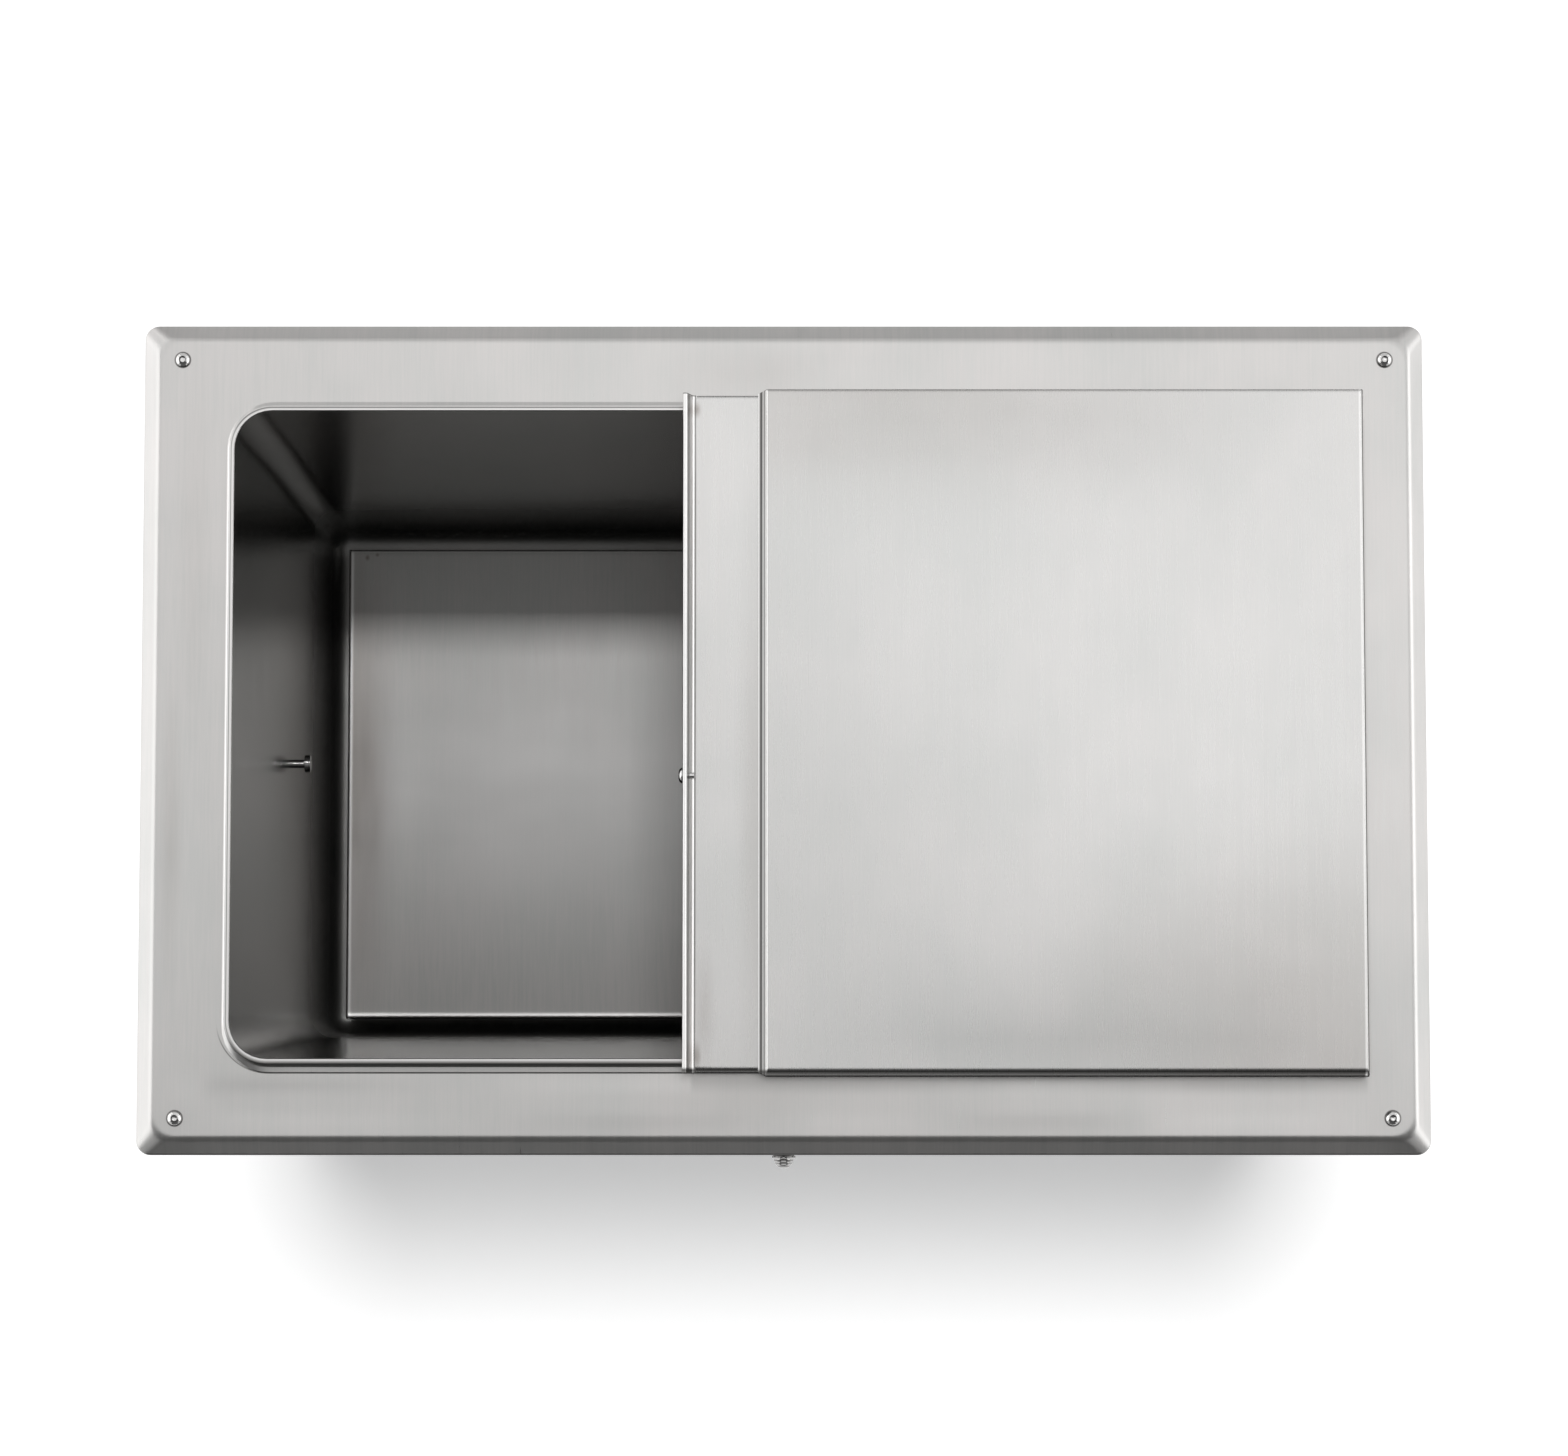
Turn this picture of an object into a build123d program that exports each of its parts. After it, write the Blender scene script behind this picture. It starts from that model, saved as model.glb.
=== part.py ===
from build123d import *
from math import atan2, cos, radians, sin, tan
import os

# Drop-in ice bin. X runs left to right, Y runs from the user to the back, Z is up.
# The origin is the middle of the corner screws, on the counter's top. All sizes are in mm.

# Deck, from the well's opening out to the lip
border_x = 59.5
border_y = 58.75
deck_height = 30.0
deck_sheet = 1.5
deck_corner_radius = 9.0
bevel_width = 11.0
bevel_drop = 9.0
bevel_bend_radius = 6.0
lip_bend_radius = 2.0
lip_lift = 0.5

# Well
opening_length = 694.0
opening_depth = 408.5
opening_radius = 24.0
well_shift = 1.5
well_depth = 401.0
well_taper = 25.5
well_bottom_radius = 14.0
cove_radius = 12.0
liner_sheet = 1.5
bottom_fall = 5.0

# Raised collar round the opening
collar_height = 11.0
collar_side_foot = 5.8
collar_front_foot = 9.0
collar_back_foot = 7.3
collar_bend_width = 2.6
collar_bend_height = 1.6
collar_hem = 3.0

# Insulated casing
foam_at_top = 10.0
foam_at_bottom = 28.0
casing_sheet = 1.0
casing_corner_radius = 20.0
casing_flange = 9.0
thermal_break_thickness = 1.5
pan_wall = 22.0

# Battens and seal under the deck
batten_gap = 1.5
seal_gap = 1.2
seal_width = 4.0
seal_height = 5.0

# Screws, studs and nuts
screw_inset_x = 25.0
screw_inset_y = 23.0
screw_radius = 2.5
screw_below_counter = 20.0
screw_head_radius = 4.75
screw_head_height = 2.75
screw_socket = 3.0
screw_hole_clearance = 1.25
hole_clearance = 0.25
casing_stud_radius = 2.0
casing_stud_length = 12.0
casing_nut_radius = 4.0
casing_nut_height = 3.2
rivet_head_radius = 3.2
rivet_head_height = 1.1
rivet_body_radius = 1.6

# Bolt with a domed nut in the middle of the front lip
cap_nut_across = 13.0
cap_nut_base = 2.2
cap_nut_dome_radius = 6.3
lip_stud_radius = 3.0
lip_stud_height = 10.5
lip_nut_across = 10.0
lip_nut_height = 5.0

# Pin on the left wall
pin_height = -187.0
pin_shank_radius = 2.9
pin_reach = 13.0
pin_head_radius = 6.0
pin_head_length = 4.0
pin_tail = 5.0
pin_nut_across = 10.0
pin_nut_height = 4.0
pin_nut_gap = 0.6
pin_pocket_room = 1.2
pin_pocket_depth = 12.0

# Drain
drain_throat_radius = 13.5
drain_thread_radius = 16.6
drain_thread_length = 38.0
drain_spigot_radius = 16.0
drain_spigot_length = 50.0
drain_flat_margin = 2.0
drain_room = 3.0
drain_flange_radius = 38.0
drain_flange_thickness = 2.0
drain_nut_radius = 27.0
drain_nut_height = 9.0
drain_gasket_thickness = 2.0
strainer_radius = 19.5
strainer_thickness = 1.2
strainer_gap = 0.2
strainer_hole_radius = 2.5
strainer_hole_ring = 8.0
strainer_hole_count = 6

# False bottom
false_bottom_gap = 15.5
false_bottom_shift = -1.4
false_bottom_rise = 30.0
false_bottom_sheet = 1.5
false_bottom_bend_radius = 4.5
false_bottom_skirt = 20.0
false_bottom_foot_radius = 9.0
false_bottom_foot_inset = 20.0
rib_height = 12.0
rib_half_width = 26.0
rib_half_crown = 11.0
rib_offset = 75.0

# Sliding cover
cover_sheet = 1.2
glide_thickness = 1.0
glide_width = 3.6
slide_gap = 0.1
sliding_cover_overhang = 9.0
sliding_cover_bend_radius = 5.0
sliding_cover_left = -56.0
sliding_cover_skirt_gap = 3.0
pull_lip_height = 10.5
pull_lip_lean = 4.4
pull_lip_bead = 3.3
lip_root = 1.0
stop_flange_height = 4.0
finger_stud_radius = 5.0
finger_stud_neck = 2.0
finger_stud_head = 5.0
finger_stud_rise = 3.4
finger_stud_offset = -27.5

# Upper cover
cover_side_gap = 2.5
fixed_cover_bend_radius = 6.0
fixed_cover_right_radius = 2.5
fixed_cover_left = -11.0
fixed_cover_overhang = 17.0
fixed_cover_headroom = 5.3
skirt_foot_cut = 14.0
skirt_foot_rise = 3.5
skirt_front_radius = 5.0
flare_length = 18.0
flare_width = 1.6
flare_tab = 3.2
step_edge_reach = 5.0
step_edge_gap = 1.5
step_edge_trim = 2.6
stop_gap = 0.3
locator_length = 60.0
locator_spacing = 220.0
locator_gap = 0.4
rest_gap = 0.05

# Lengths and widths that follow from the sizes above
deck_length = opening_length + 2 * border_x
deck_depth = opening_depth + 2 * border_y
screw_spacing_x = deck_length - 2 * screw_inset_x
screw_spacing_y = deck_depth - 2 * screw_inset_y
sliding_cover_width = opening_depth + 2 * sliding_cover_overhang
fixed_cover_width = sliding_cover_width + 2 * cover_side_gap
fixed_cover_right = opening_length / 2 + fixed_cover_overhang
closed_travel = opening_length / 2 + sliding_cover_left
sliding_cover_right = fixed_cover_left + closed_travel + stop_gap + 2 * cover_sheet
collar_land = liner_sheet + deck_sheet

# Heights that follow from the sizes above
deck_underside = deck_height - deck_sheet
collar_top = deck_height + collar_height
well_bottom = collar_top - well_depth
drain_floor = well_bottom - bottom_fall
panel_underside = collar_top + slide_gap + glide_thickness
panel_top = panel_underside + cover_sheet
fixed_underside = panel_top + fixed_cover_headroom
fixed_top = fixed_underside + cover_sheet
flange_top = deck_underside - thermal_break_thickness
casing_bottom_height = drain_floor - liner_sheet - foam_at_bottom
plate_top = well_bottom + false_bottom_rise


def outline(corners):
    """Face from (u, v, radius) corners, with an arc at each corner that has a radius."""
    points = [Vector(u, v) for u, v, radius in corners]
    edges = []
    stretches = []
    for index, (u, v, radius) in enumerate(corners):
        here = points[index]
        before = (points[index - 1] - here).normalized()
        after = (points[(index + 1) % len(points)] - here).normalized()
        if radius <= 0:
            stretches.append((here, here))
            continue
        half_angle = radians(before.get_angle(after)) / 2
        reach = radius / tan(half_angle)
        first = here + before * reach
        last = here + after * reach
        middle = here + (before + after).normalized() * (radius / sin(half_angle) - radius)
        edges.append(ThreePointArc(first, middle, last))
        stretches.append((first, last))
    for index, (first, last) in enumerate(stretches):
        start = stretches[index - 1][1]
        if (start - first).length > 1e-6:
            edges.append(Line(start, first))
    return make_face(edges)


def run_along_x(face, x0, x1):
    """Solid from a face drawn in Y and Z."""
    return extrude(Plane.YZ.offset(x0) * face, amount=x1 - x0)


def run_along_y(face, y0, y1):
    """Solid from a face drawn in X and Z."""
    return extrude(Plane.XZ.offset(-y1) * face, amount=y1 - y0)


def rounded_slab(length, depth, radius, z0, z1, y_shift=0.0):
    face = Pos(0, y_shift, z0) * RectangleRounded(length, depth, radius)
    return extrude(face, amount=z1 - z0)


def rounded_frustum(low, high):
    """Loft between two rounded rectangles given as (length, depth, radius, z, y shift)."""
    faces = []
    for length, depth, radius, z, y_shift in (low, high):
        faces.append(Pos(0, y_shift, z) * RectangleRounded(length, depth, radius))
    return loft(faces, ruled=True)


def post(radius, z0, z1):
    """Upright cylinder between two heights."""
    return Pos(0, 0, z0) * Cylinder(radius, z1 - z0, align=(Align.CENTER, Align.CENTER, Align.MIN))


def block(x0, x1, y0, y1, z0, z1):
    """Box between two corners."""
    return Pos(x0, y0, z0) * Box(x1 - x0, y1 - y0, z1 - z0, align=(Align.MIN, Align.MIN, Align.MIN))


def at_corners(spacing_x, spacing_y, y_shift=0.0):
    for side_x in (-1, 1):
        for side_y in (-1, 1):
            yield side_x * spacing_x / 2, side_y * spacing_y / 2 + y_shift


def hex_prism(across, height):
    return extrude(RegularPolygon(across / 2, 6, major_radius=False), amount=height)


def bevel_profile(half, top, bottom, inset):
    """Cross-section of the deck's form, moved inwards by inset, with an open bottom."""
    slope = atan2(bevel_drop, bevel_width)
    top_half = half - bevel_width - inset * tan(slope / 2)
    side_z = top - bevel_drop - inset * cos(slope) / (1 + sin(slope))
    side = half - inset
    bend = bevel_bend_radius - inset
    edge = lip_bend_radius - inset
    right = [(side, bottom, 0), (side, side_z, edge), (top_half, top - inset, bend)]
    left = [(-u, v, radius) for u, v, radius in reversed(right)]
    return outline(right + left)


def deck_form(inset, bottom):
    long_side = bevel_profile(deck_length / 2, deck_height, bottom, inset)
    short_side = bevel_profile(deck_depth / 2, deck_height, bottom, inset)
    form = run_along_y(long_side, -deck_depth / 2, deck_depth / 2)
    form &= run_along_x(short_side, -deck_length / 2, deck_length / 2)
    length = deck_length - 2 * inset
    depth = deck_depth - 2 * inset
    return form & rounded_slab(length, depth, deck_corner_radius - inset, bottom, deck_height)


def collar_ring(side, front, back, z, inset):
    """Rounded rectangle outside the opening by its distance on each side, less inset."""
    length = opening_length + 2 * (side - inset)
    depth = opening_depth + front + back - 2 * inset
    return length, depth, opening_radius + side - inset, z, well_shift + (back - front) / 2


def collar_form(inset):
    """Outside of the collar, or its inside when inset is the deck's sheet."""
    feet = [collar_side_foot, collar_front_foot, collar_back_foot]
    above_bend = [foot - collar_bend_width for foot in feet]
    land = [collar_land] * 3
    hem_z = collar_top - collar_hem
    rings = [
        collar_ring(*feet, deck_height, inset),
        collar_ring(*above_bend, deck_height + collar_bend_height, inset),
        collar_ring(*land, hem_z, inset),
        collar_ring(*land, collar_top, inset),
    ]
    form = rounded_frustum(rings[0], rings[1])
    for low, high in zip(rings[1:], rings[2:]):
        form += rounded_frustum(low, high)
    return form


def deck_opening():
    """What is cut from the deck's sheet inside the collar's foot."""
    foot = collar_ring(collar_side_foot, collar_front_foot, collar_back_foot, deck_height, deck_sheet)
    length, depth, radius, z, y_shift = foot
    return rounded_slab(length, depth, radius, lip_lift, z, y_shift)


def deck_top():
    deck = deck_form(0, lip_lift) - deck_form(deck_sheet, lip_lift - 1)
    deck += collar_form(0)
    deck -= collar_form(deck_sheet) + deck_opening()
    hole = post(screw_radius + screw_hole_clearance, 0, 2 * deck_height)
    for x, y in at_corners(screw_spacing_x, screw_spacing_y):
        deck -= Pos(x, y, 0) * hole
    return deck - on_front_lip(Cylinder(lip_stud_radius + hole_clearance, 4 * deck_sheet))


def well_half(z):
    """Half length and half depth of the well's inside at a height under the collar's hem."""
    share = (collar_top - collar_hem - z) / (well_depth - collar_hem)
    return opening_length / 2 - well_taper * share, opening_depth / 2 - well_taper * share


def well_form(wall):
    """Inside of the well, or its outside when wall is the liner's sheet."""
    half_length, half_depth = well_half(well_bottom)
    bottom = well_bottom - wall
    low = (2 * (half_length + wall), 2 * (half_depth + wall), well_bottom_radius + wall, bottom, well_shift)
    length = opening_length + 2 * wall
    depth = opening_depth + 2 * wall
    hem_z = collar_top - collar_hem
    radius = opening_radius + wall
    form = rounded_frustum(low, (length, depth, radius, hem_z, well_shift))
    form = fillet(form.edges().group_by(Axis.Z)[0], cove_radius + wall)
    form += rounded_slab(length, depth, radius, hem_z, collar_top, well_shift)
    return form + dished_floor(wall)


def dished_floor(wall):
    """Shallow four-sided fall from the cove's foot to the drain."""
    half_length, half_depth = well_half(well_bottom)
    edge = cove_radius + drain_flat_margin
    bottom = well_bottom - wall
    flat = 2 * (drain_flange_radius + drain_flat_margin)
    upper = Pos(0, well_shift, bottom) * Rectangle(2 * (half_length - edge), 2 * (half_depth - edge))
    lower = Pos(0, well_shift, bottom - bottom_fall) * Rectangle(flat, flat)
    return loft([lower, upper], ruled=True)


def well_liner():
    liner = well_form(liner_sheet) - well_form(0)
    drain_hole = post(drain_thread_radius + hole_clearance, casing_bottom_height, well_bottom)
    liner -= Pos(0, well_shift, 0) * drain_hole
    return liner - on_left_wall(Cylinder(pin_shank_radius, 20 * liner_sheet))


def on_left_wall(solid):
    """Turns a piece made along +Z so that it points out of the well's left wall."""
    return Pos(-well_half(pin_height)[0], 0, pin_height) * Rot(0, 90, 0) * solid


def casing_size(wall):
    length = opening_length + 2 * (liner_sheet + foam_at_top + wall)
    depth = opening_depth + 2 * (liner_sheet + foam_at_top + wall)
    return length, depth, casing_corner_radius + wall


def casing_slab(wall, z0, z1):
    length, depth, radius = casing_size(wall)
    return rounded_slab(length, depth, radius, z0, z1, well_shift)


def outer_casing():
    casing = casing_slab(casing_sheet, casing_bottom_height, flange_top)
    casing += casing_slab(casing_sheet + casing_flange, flange_top - casing_sheet, flange_top)
    casing -= casing_slab(0, casing_bottom_height, flange_top)
    casing -= casing_stud_holes()
    for place in rivet_places():
        casing -= rivet_axis(*place) * Cylinder(rivet_body_radius, 6 * casing_sheet)
    return casing


def drain_column():
    """Room for the drain's nut from under the casing up to the liner's floor."""
    column = post(drain_nut_radius + drain_room, casing_bottom_height - 1, well_bottom)
    return Pos(0, well_shift, 0) * column


def casing_bottom():
    z0 = casing_bottom_height
    pan = casing_slab(0, z0, z0 + pan_wall) - casing_slab(-casing_sheet, z0 + casing_sheet, z0 + pan_wall)
    for place in rivet_places():
        pan -= rivet_axis(*place) * Cylinder(rivet_body_radius, 6 * casing_sheet)
    return pan - drain_column()


def insulation_foam():
    foam = casing_slab(0, casing_bottom_height + pan_wall, flange_top - casing_sheet)
    foam += casing_slab(-casing_sheet, casing_bottom_height + casing_sheet, casing_bottom_height + pan_wall)
    foam -= well_form(liner_sheet)
    foam -= on_left_wall(post(pin_head_radius + pin_pocket_room, -pin_pocket_depth, 0))
    for place in rivet_places():
        foam -= rivet_axis(*place) * Cylinder(rivet_head_radius, 6 * casing_sheet)
    return foam - drain_column()


def thermal_break():
    tape = casing_slab(casing_sheet + casing_flange, flange_top, deck_underside)
    tape -= casing_slab(0, flange_top, deck_underside)
    return tape - casing_stud_holes()


def casing_stud_places():
    length, depth, radius = casing_size(casing_sheet + casing_flange / 2)
    for side in (-1, 1):
        for share in (-0.3, 0.3):
            yield share * length, side * depth / 2 + well_shift
            yield side * length / 2, share * depth + well_shift


def casing_stud_holes():
    hole = post(casing_stud_radius + hole_clearance, flange_top - 2 * casing_sheet, deck_underside + 1)
    return [Pos(x, y, 0) * hole for x, y in casing_stud_places()]


def casing_studs():
    studs = []
    for x, y in casing_stud_places():
        stud = post(casing_stud_radius, deck_underside - casing_stud_length, deck_underside)
        studs.append(Pos(x, y, 0) * stud)
    return Compound(children=studs)


def casing_nuts():
    nuts = []
    for x, y in casing_stud_places():
        nut = hex_prism(2 * casing_nut_radius * cos(radians(30)), casing_nut_height)
        nut -= Cylinder(casing_stud_radius, 4 * casing_nut_height)
        nuts.append(Pos(x, y, flange_top - casing_sheet - casing_nut_height) * nut)
    return Compound(children=nuts)


def rivet_places():
    """Place and turn of each rivet through the casing and the pan's wall."""
    length, depth, radius = casing_size(0)
    for share in (-0.38, -0.13, 0.13, 0.38):
        yield share * length, -depth / 2 + well_shift, 0
        yield share * length, depth / 2 + well_shift, 180
    for share in (-0.3, 0.3):
        yield -length / 2, share * depth + well_shift, -90
        yield length / 2, share * depth + well_shift, 90


def rivet_axis(x, y, angle):
    """Places what is made along +Z so that it points out of the casing's wall."""
    return Pos(x, y, casing_bottom_height + pan_wall / 2) * Rot(0, 0, angle) * Rot(90, 0, 0)


def casing_rivets():
    rivets = []
    inner = 2 * casing_sheet
    profile = [
        (0, -inner, 0),
        (rivet_body_radius, -inner, 0),
        (rivet_body_radius, casing_sheet, 0),
        (rivet_head_radius, casing_sheet, 0),
        (rivet_head_radius * 0.6, casing_sheet + rivet_head_height, 0),
        (0, casing_sheet + rivet_head_height, 0),
    ]
    rivet = revolve(Plane.XZ * outline(profile), Axis.Z)
    for x, y, angle in rivet_places():
        rivets.append(rivet_axis(x, y, angle) * rivet)
    return Compound(children=rivets)


def batten_edges():
    """Outer edges of the battens, which stop short of the seal inside the lip."""
    inset = deck_sheet + seal_width + seal_gap
    return deck_length / 2 - inset, deck_depth / 2 - inset


def flange_edges():
    """Half length and half depth of the casing's flange, with the battens' gap."""
    length, depth, radius = casing_size(casing_sheet + casing_flange)
    return length / 2 + batten_gap, depth / 2 + batten_gap


def long_batten(side):
    """Batten along X that the corner screws go through, in front or behind."""
    half, outer = batten_edges()
    low, high = sorted((side * flange_edges()[1] + well_shift, side * outer))
    batten = block(-half, half, low, high, 0, deck_underside)
    hole = post(screw_radius + screw_hole_clearance, -1, deck_height)
    for x in (-screw_spacing_x / 2, screw_spacing_x / 2):
        batten -= Pos(x, side * screw_spacing_y / 2, 0) * hole
    return batten & under_deck()


def front_batten():
    """The front batten has a pocket behind the nut in the middle of the lip."""
    pocket = post(lip_nut_across * 0.75, -2 * lip_nut_height, 0)
    return long_batten(-1) - on_front_lip(pocket)


def short_batten(side):
    low, high = sorted((side * flange_edges()[0], side * batten_edges()[0]))
    front = -flange_edges()[1] + well_shift + batten_gap
    back = flange_edges()[1] + well_shift - batten_gap
    return block(low, high, front, back, 0, deck_underside) & under_deck()


def under_deck():
    """The deck's inside form, which a batten's upper edge follows."""
    return deck_form(deck_sheet, -1)


def edge_seal():
    length = deck_length - 2 * deck_sheet
    depth = deck_depth - 2 * deck_sheet
    radius = deck_corner_radius - deck_sheet
    seal = rounded_slab(length, depth, radius, 0, seal_height)
    inside = (length - 2 * seal_width, depth - 2 * seal_width, radius - seal_width)
    return seal - rounded_slab(*inside, 0, seal_height)


def corner_screws():
    screws = []
    head = [
        (0, 0, 0),
        (screw_head_radius, 0, 0),
        (screw_head_radius, 0.4, 0),
        (screw_socket * 0.75, screw_head_height, 0),
        (0, screw_head_height, 0),
    ]
    screw = revolve(Plane.XZ * outline(head), Axis.Z)
    screw += post(screw_radius, -deck_height - screw_below_counter, 0)
    screw -= Pos(0, 0, screw_head_height - 1.6) * hex_prism(screw_socket, 3)
    for x, y in at_corners(screw_spacing_x, screw_spacing_y):
        screws.append(Pos(x, y, deck_height) * screw)
    return Compound(children=screws)


def on_front_lip(solid):
    """Turns a piece made along +Z so that it points out of the front lip."""
    return Pos(0, -deck_depth / 2, lip_stud_height) * Rot(90, 0, 0) * solid


def front_cap_nut():
    nut = hex_prism(cap_nut_across, cap_nut_base)
    ball = Sphere(cap_nut_dome_radius) & post(2 * cap_nut_dome_radius, 0, cap_nut_dome_radius)
    nut += Pos(0, 0, cap_nut_base) * ball
    return on_front_lip(nut - post(lip_stud_radius, -1, cap_nut_base + cap_nut_dome_radius / 2))


def front_lip_stud():
    outside = cap_nut_base + cap_nut_dome_radius / 2
    return on_front_lip(post(lip_stud_radius, -deck_sheet - lip_nut_height - 1, outside))


def front_lip_nut():
    nut = hex_prism(lip_nut_across, lip_nut_height) - Cylinder(lip_stud_radius, 4 * lip_nut_height)
    return on_front_lip(Pos(0, 0, -deck_sheet - lip_nut_height) * nut)


def wall_pin():
    """Headed pin that goes through the liner's left wall and into a nut behind it."""
    head_start = pin_reach - pin_head_length
    profile = [
        (0, -liner_sheet - pin_tail, 0),
        (pin_shank_radius, -liner_sheet - pin_tail, 0),
        (pin_shank_radius, head_start, 0),
        (pin_head_radius, head_start, 0),
        (pin_head_radius, pin_reach - 0.6, 0),
        (pin_head_radius - 0.6, pin_reach, 0),
        (0, pin_reach, 0),
    ]
    return on_left_wall(revolve(Plane.XZ * outline(profile), Axis.Z))


def wall_pin_nut():
    nut = hex_prism(pin_nut_across, pin_nut_height) - Cylinder(pin_shank_radius, 4 * pin_nut_height)
    return on_left_wall(Pos(0, 0, -liner_sheet - pin_nut_gap - pin_nut_height) * nut)


def drain_body():
    """Flange, threaded neck and spigot, with a recess for the strainer."""
    flange_top_face = drain_floor + drain_flange_thickness
    neck_end = drain_floor - drain_thread_length
    end = neck_end - drain_spigot_length
    body = post(drain_flange_radius, drain_floor, flange_top_face)
    body += post(drain_thread_radius, neck_end, drain_floor)
    body += post(drain_spigot_radius, end, neck_end)
    body -= post(drain_throat_radius, end - 1, flange_top_face + 1)
    body -= post(strainer_radius, flange_top_face - strainer_thickness, flange_top_face + 1)
    return Pos(0, well_shift, 0) * body


def drain_strainer():
    high = drain_floor + drain_flange_thickness
    disc = post(strainer_radius - strainer_gap, high - strainer_thickness, high)
    hole = post(strainer_hole_radius, high - 4 * strainer_thickness, high + strainer_thickness)
    disc -= hole
    for index in range(strainer_hole_count):
        disc -= Rot(0, 0, index * 360 / strainer_hole_count) * Pos(strainer_hole_ring, 0, 0) * hole
    return Pos(0, well_shift, 0) * disc


def drain_gasket():
    high = drain_floor - liner_sheet
    low = high - drain_gasket_thickness
    ring = post(drain_nut_radius, low, high) - post(drain_thread_radius, low - 1, high + 1)
    return Pos(0, well_shift, 0) * ring


def drain_locknut():
    high = drain_floor - liner_sheet - drain_gasket_thickness
    across = 2 * drain_nut_radius * cos(radians(30))
    nut = hex_prism(across, drain_nut_height) - Cylinder(drain_thread_radius, 4 * drain_nut_height)
    return Pos(0, well_shift, high - drain_nut_height) * nut


def false_bottom_size(inset):
    half_length, half_depth = well_half(plate_top)
    length = 2 * (half_length - false_bottom_gap - inset)
    depth = 2 * (half_depth - false_bottom_gap - inset)
    return length, depth


def tray_profile(half, top, bottom, radius):
    corners = [(half, bottom, 0), (half, top, radius), (-half, top, radius), (-half, bottom, 0)]
    return outline(corners)


def false_bottom_form(inset, bottom):
    length, depth = false_bottom_size(inset)
    radius = false_bottom_bend_radius - inset
    top = plate_top - inset
    form = run_along_y(tray_profile(length / 2, top, bottom, radius), -depth, depth)
    form &= run_along_x(tray_profile(depth / 2, top, bottom, radius), -length, length)
    return Pos(0, false_bottom_shift, 0) * form


def false_bottom_plate():
    bottom = plate_top - false_bottom_skirt
    return false_bottom_form(0, bottom) - false_bottom_form(false_bottom_sheet, bottom - 1)


def false_bottom_rib():
    """Hat section along the underside of the plate, drawn in Y and Z."""
    half = false_bottom_size(0)[0] / 2 - 2 * false_bottom_foot_inset
    sheet = false_bottom_sheet
    top = plate_top - sheet
    crown = top - rib_height
    foot = rib_half_crown + 3
    right = [
        (rib_half_crown, crown, 0),
        (foot, top - sheet, 0),
        (rib_half_width, top - sheet, 0),
        (rib_half_width, top, 0),
        (foot - 1.1, top, 0),
        (rib_half_crown - 1.1, crown + sheet, 0),
    ]
    left = [(-u, v, radius) for u, v, radius in reversed(right)]
    return Pos(0, false_bottom_shift + rib_offset, 0) * run_along_x(outline(right + left), -half, half)


def false_bottom_feet():
    """Feet that end on the floor's own slope."""
    feet = []
    length, depth = false_bottom_size(false_bottom_foot_inset)
    radius = false_bottom_foot_radius
    foot = post(radius, well_bottom - bottom_fall, plate_top - false_bottom_sheet)
    inside = well_form(0)
    for x, y in at_corners(length, depth, false_bottom_shift):
        feet.append(Pos(x, y, 0) * foot & inside)
    return Compound(children=feet)


def pull_lip():
    """Upturned lip with a rolled bead, drawn in X and Z."""
    x0 = sliding_cover_left
    z0 = panel_underside
    sheet = cover_sheet
    lean = pull_lip_lean
    rise = pull_lip_height
    corners = [
        (x0 + 6, z0, 0),
        (x0 + 6, z0 + sheet, 0),
        (x0, z0 + sheet, 2.0),
        (x0 - lean, z0 + sheet + rise, 0),
        (x0 - lean - sheet, z0 + sheet + rise, 0),
        (x0 - lip_root, z0, 3.0),
    ]
    half = sliding_cover_width / 2
    lip = run_along_y(outline(corners), -half, half)
    bead_x = x0 - lean - pull_lip_bead / 2
    bead_z = z0 + sheet + rise
    bead = Pos(bead_x, 0, bead_z) * Rot(90, 0, 0) * Cylinder(pull_lip_bead / 2, 2 * half)
    return lip + bead


def sliding_cover_form(inset, x0, x1, bottom):
    half = sliding_cover_width / 2 - inset
    radius = sliding_cover_bend_radius - inset
    face = tray_profile(half, panel_top - inset, bottom, radius)
    return run_along_x(face, x0, x1)


def sliding_cover_panel():
    left = sliding_cover_left
    right = sliding_cover_right
    bottom = deck_height + sliding_cover_skirt_gap
    cover = sliding_cover_form(0, left, right, bottom)
    cover -= sliding_cover_form(cover_sheet, left - 1, right + 1, bottom - 1)
    cover += pull_lip()
    flange_half = sliding_cover_width / 2 - sliding_cover_bend_radius - 1
    flange_top_edge = panel_top + stop_flange_height
    cover += block(right - cover_sheet, right, -flange_half, flange_half, panel_underside, flange_top_edge)
    hole = Rot(0, 90, 0) * Cylinder(finger_stud_neck, 4 * finger_stud_head)
    cover -= Pos(left, finger_stud_offset, panel_top + finger_stud_rise) * hole
    return Pos(0, well_shift, 0) * cover


def lip_face(height):
    """X of the pull lip's left face at a height over the panel's underside."""
    share = height / (cover_sheet + pull_lip_height)
    return sliding_cover_left - lip_root - (pull_lip_lean + cover_sheet - lip_root) * share


def finger_stud():
    """Domed stud on a neck that goes through the pull lip from its left face."""
    back_x = lip_face(cover_sheet + finger_stud_rise + finger_stud_radius)
    neck_length = sliding_cover_left - back_x
    radius = finger_stud_radius
    profile = [
        (0, -neck_length, 0),
        (finger_stud_neck, -neck_length, 0),
        (finger_stud_neck, 0, 0),
        (radius, 0, 0),
        (radius, finger_stud_head, 2.5),
        (0, finger_stud_head, 0),
    ]
    stud = revolve(Plane.XZ * outline(profile), Axis.Z)
    y = finger_stud_offset + well_shift
    return Pos(back_x - slide_gap, y, panel_top + finger_stud_rise) * Rot(0, -90, 0) * stud


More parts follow.
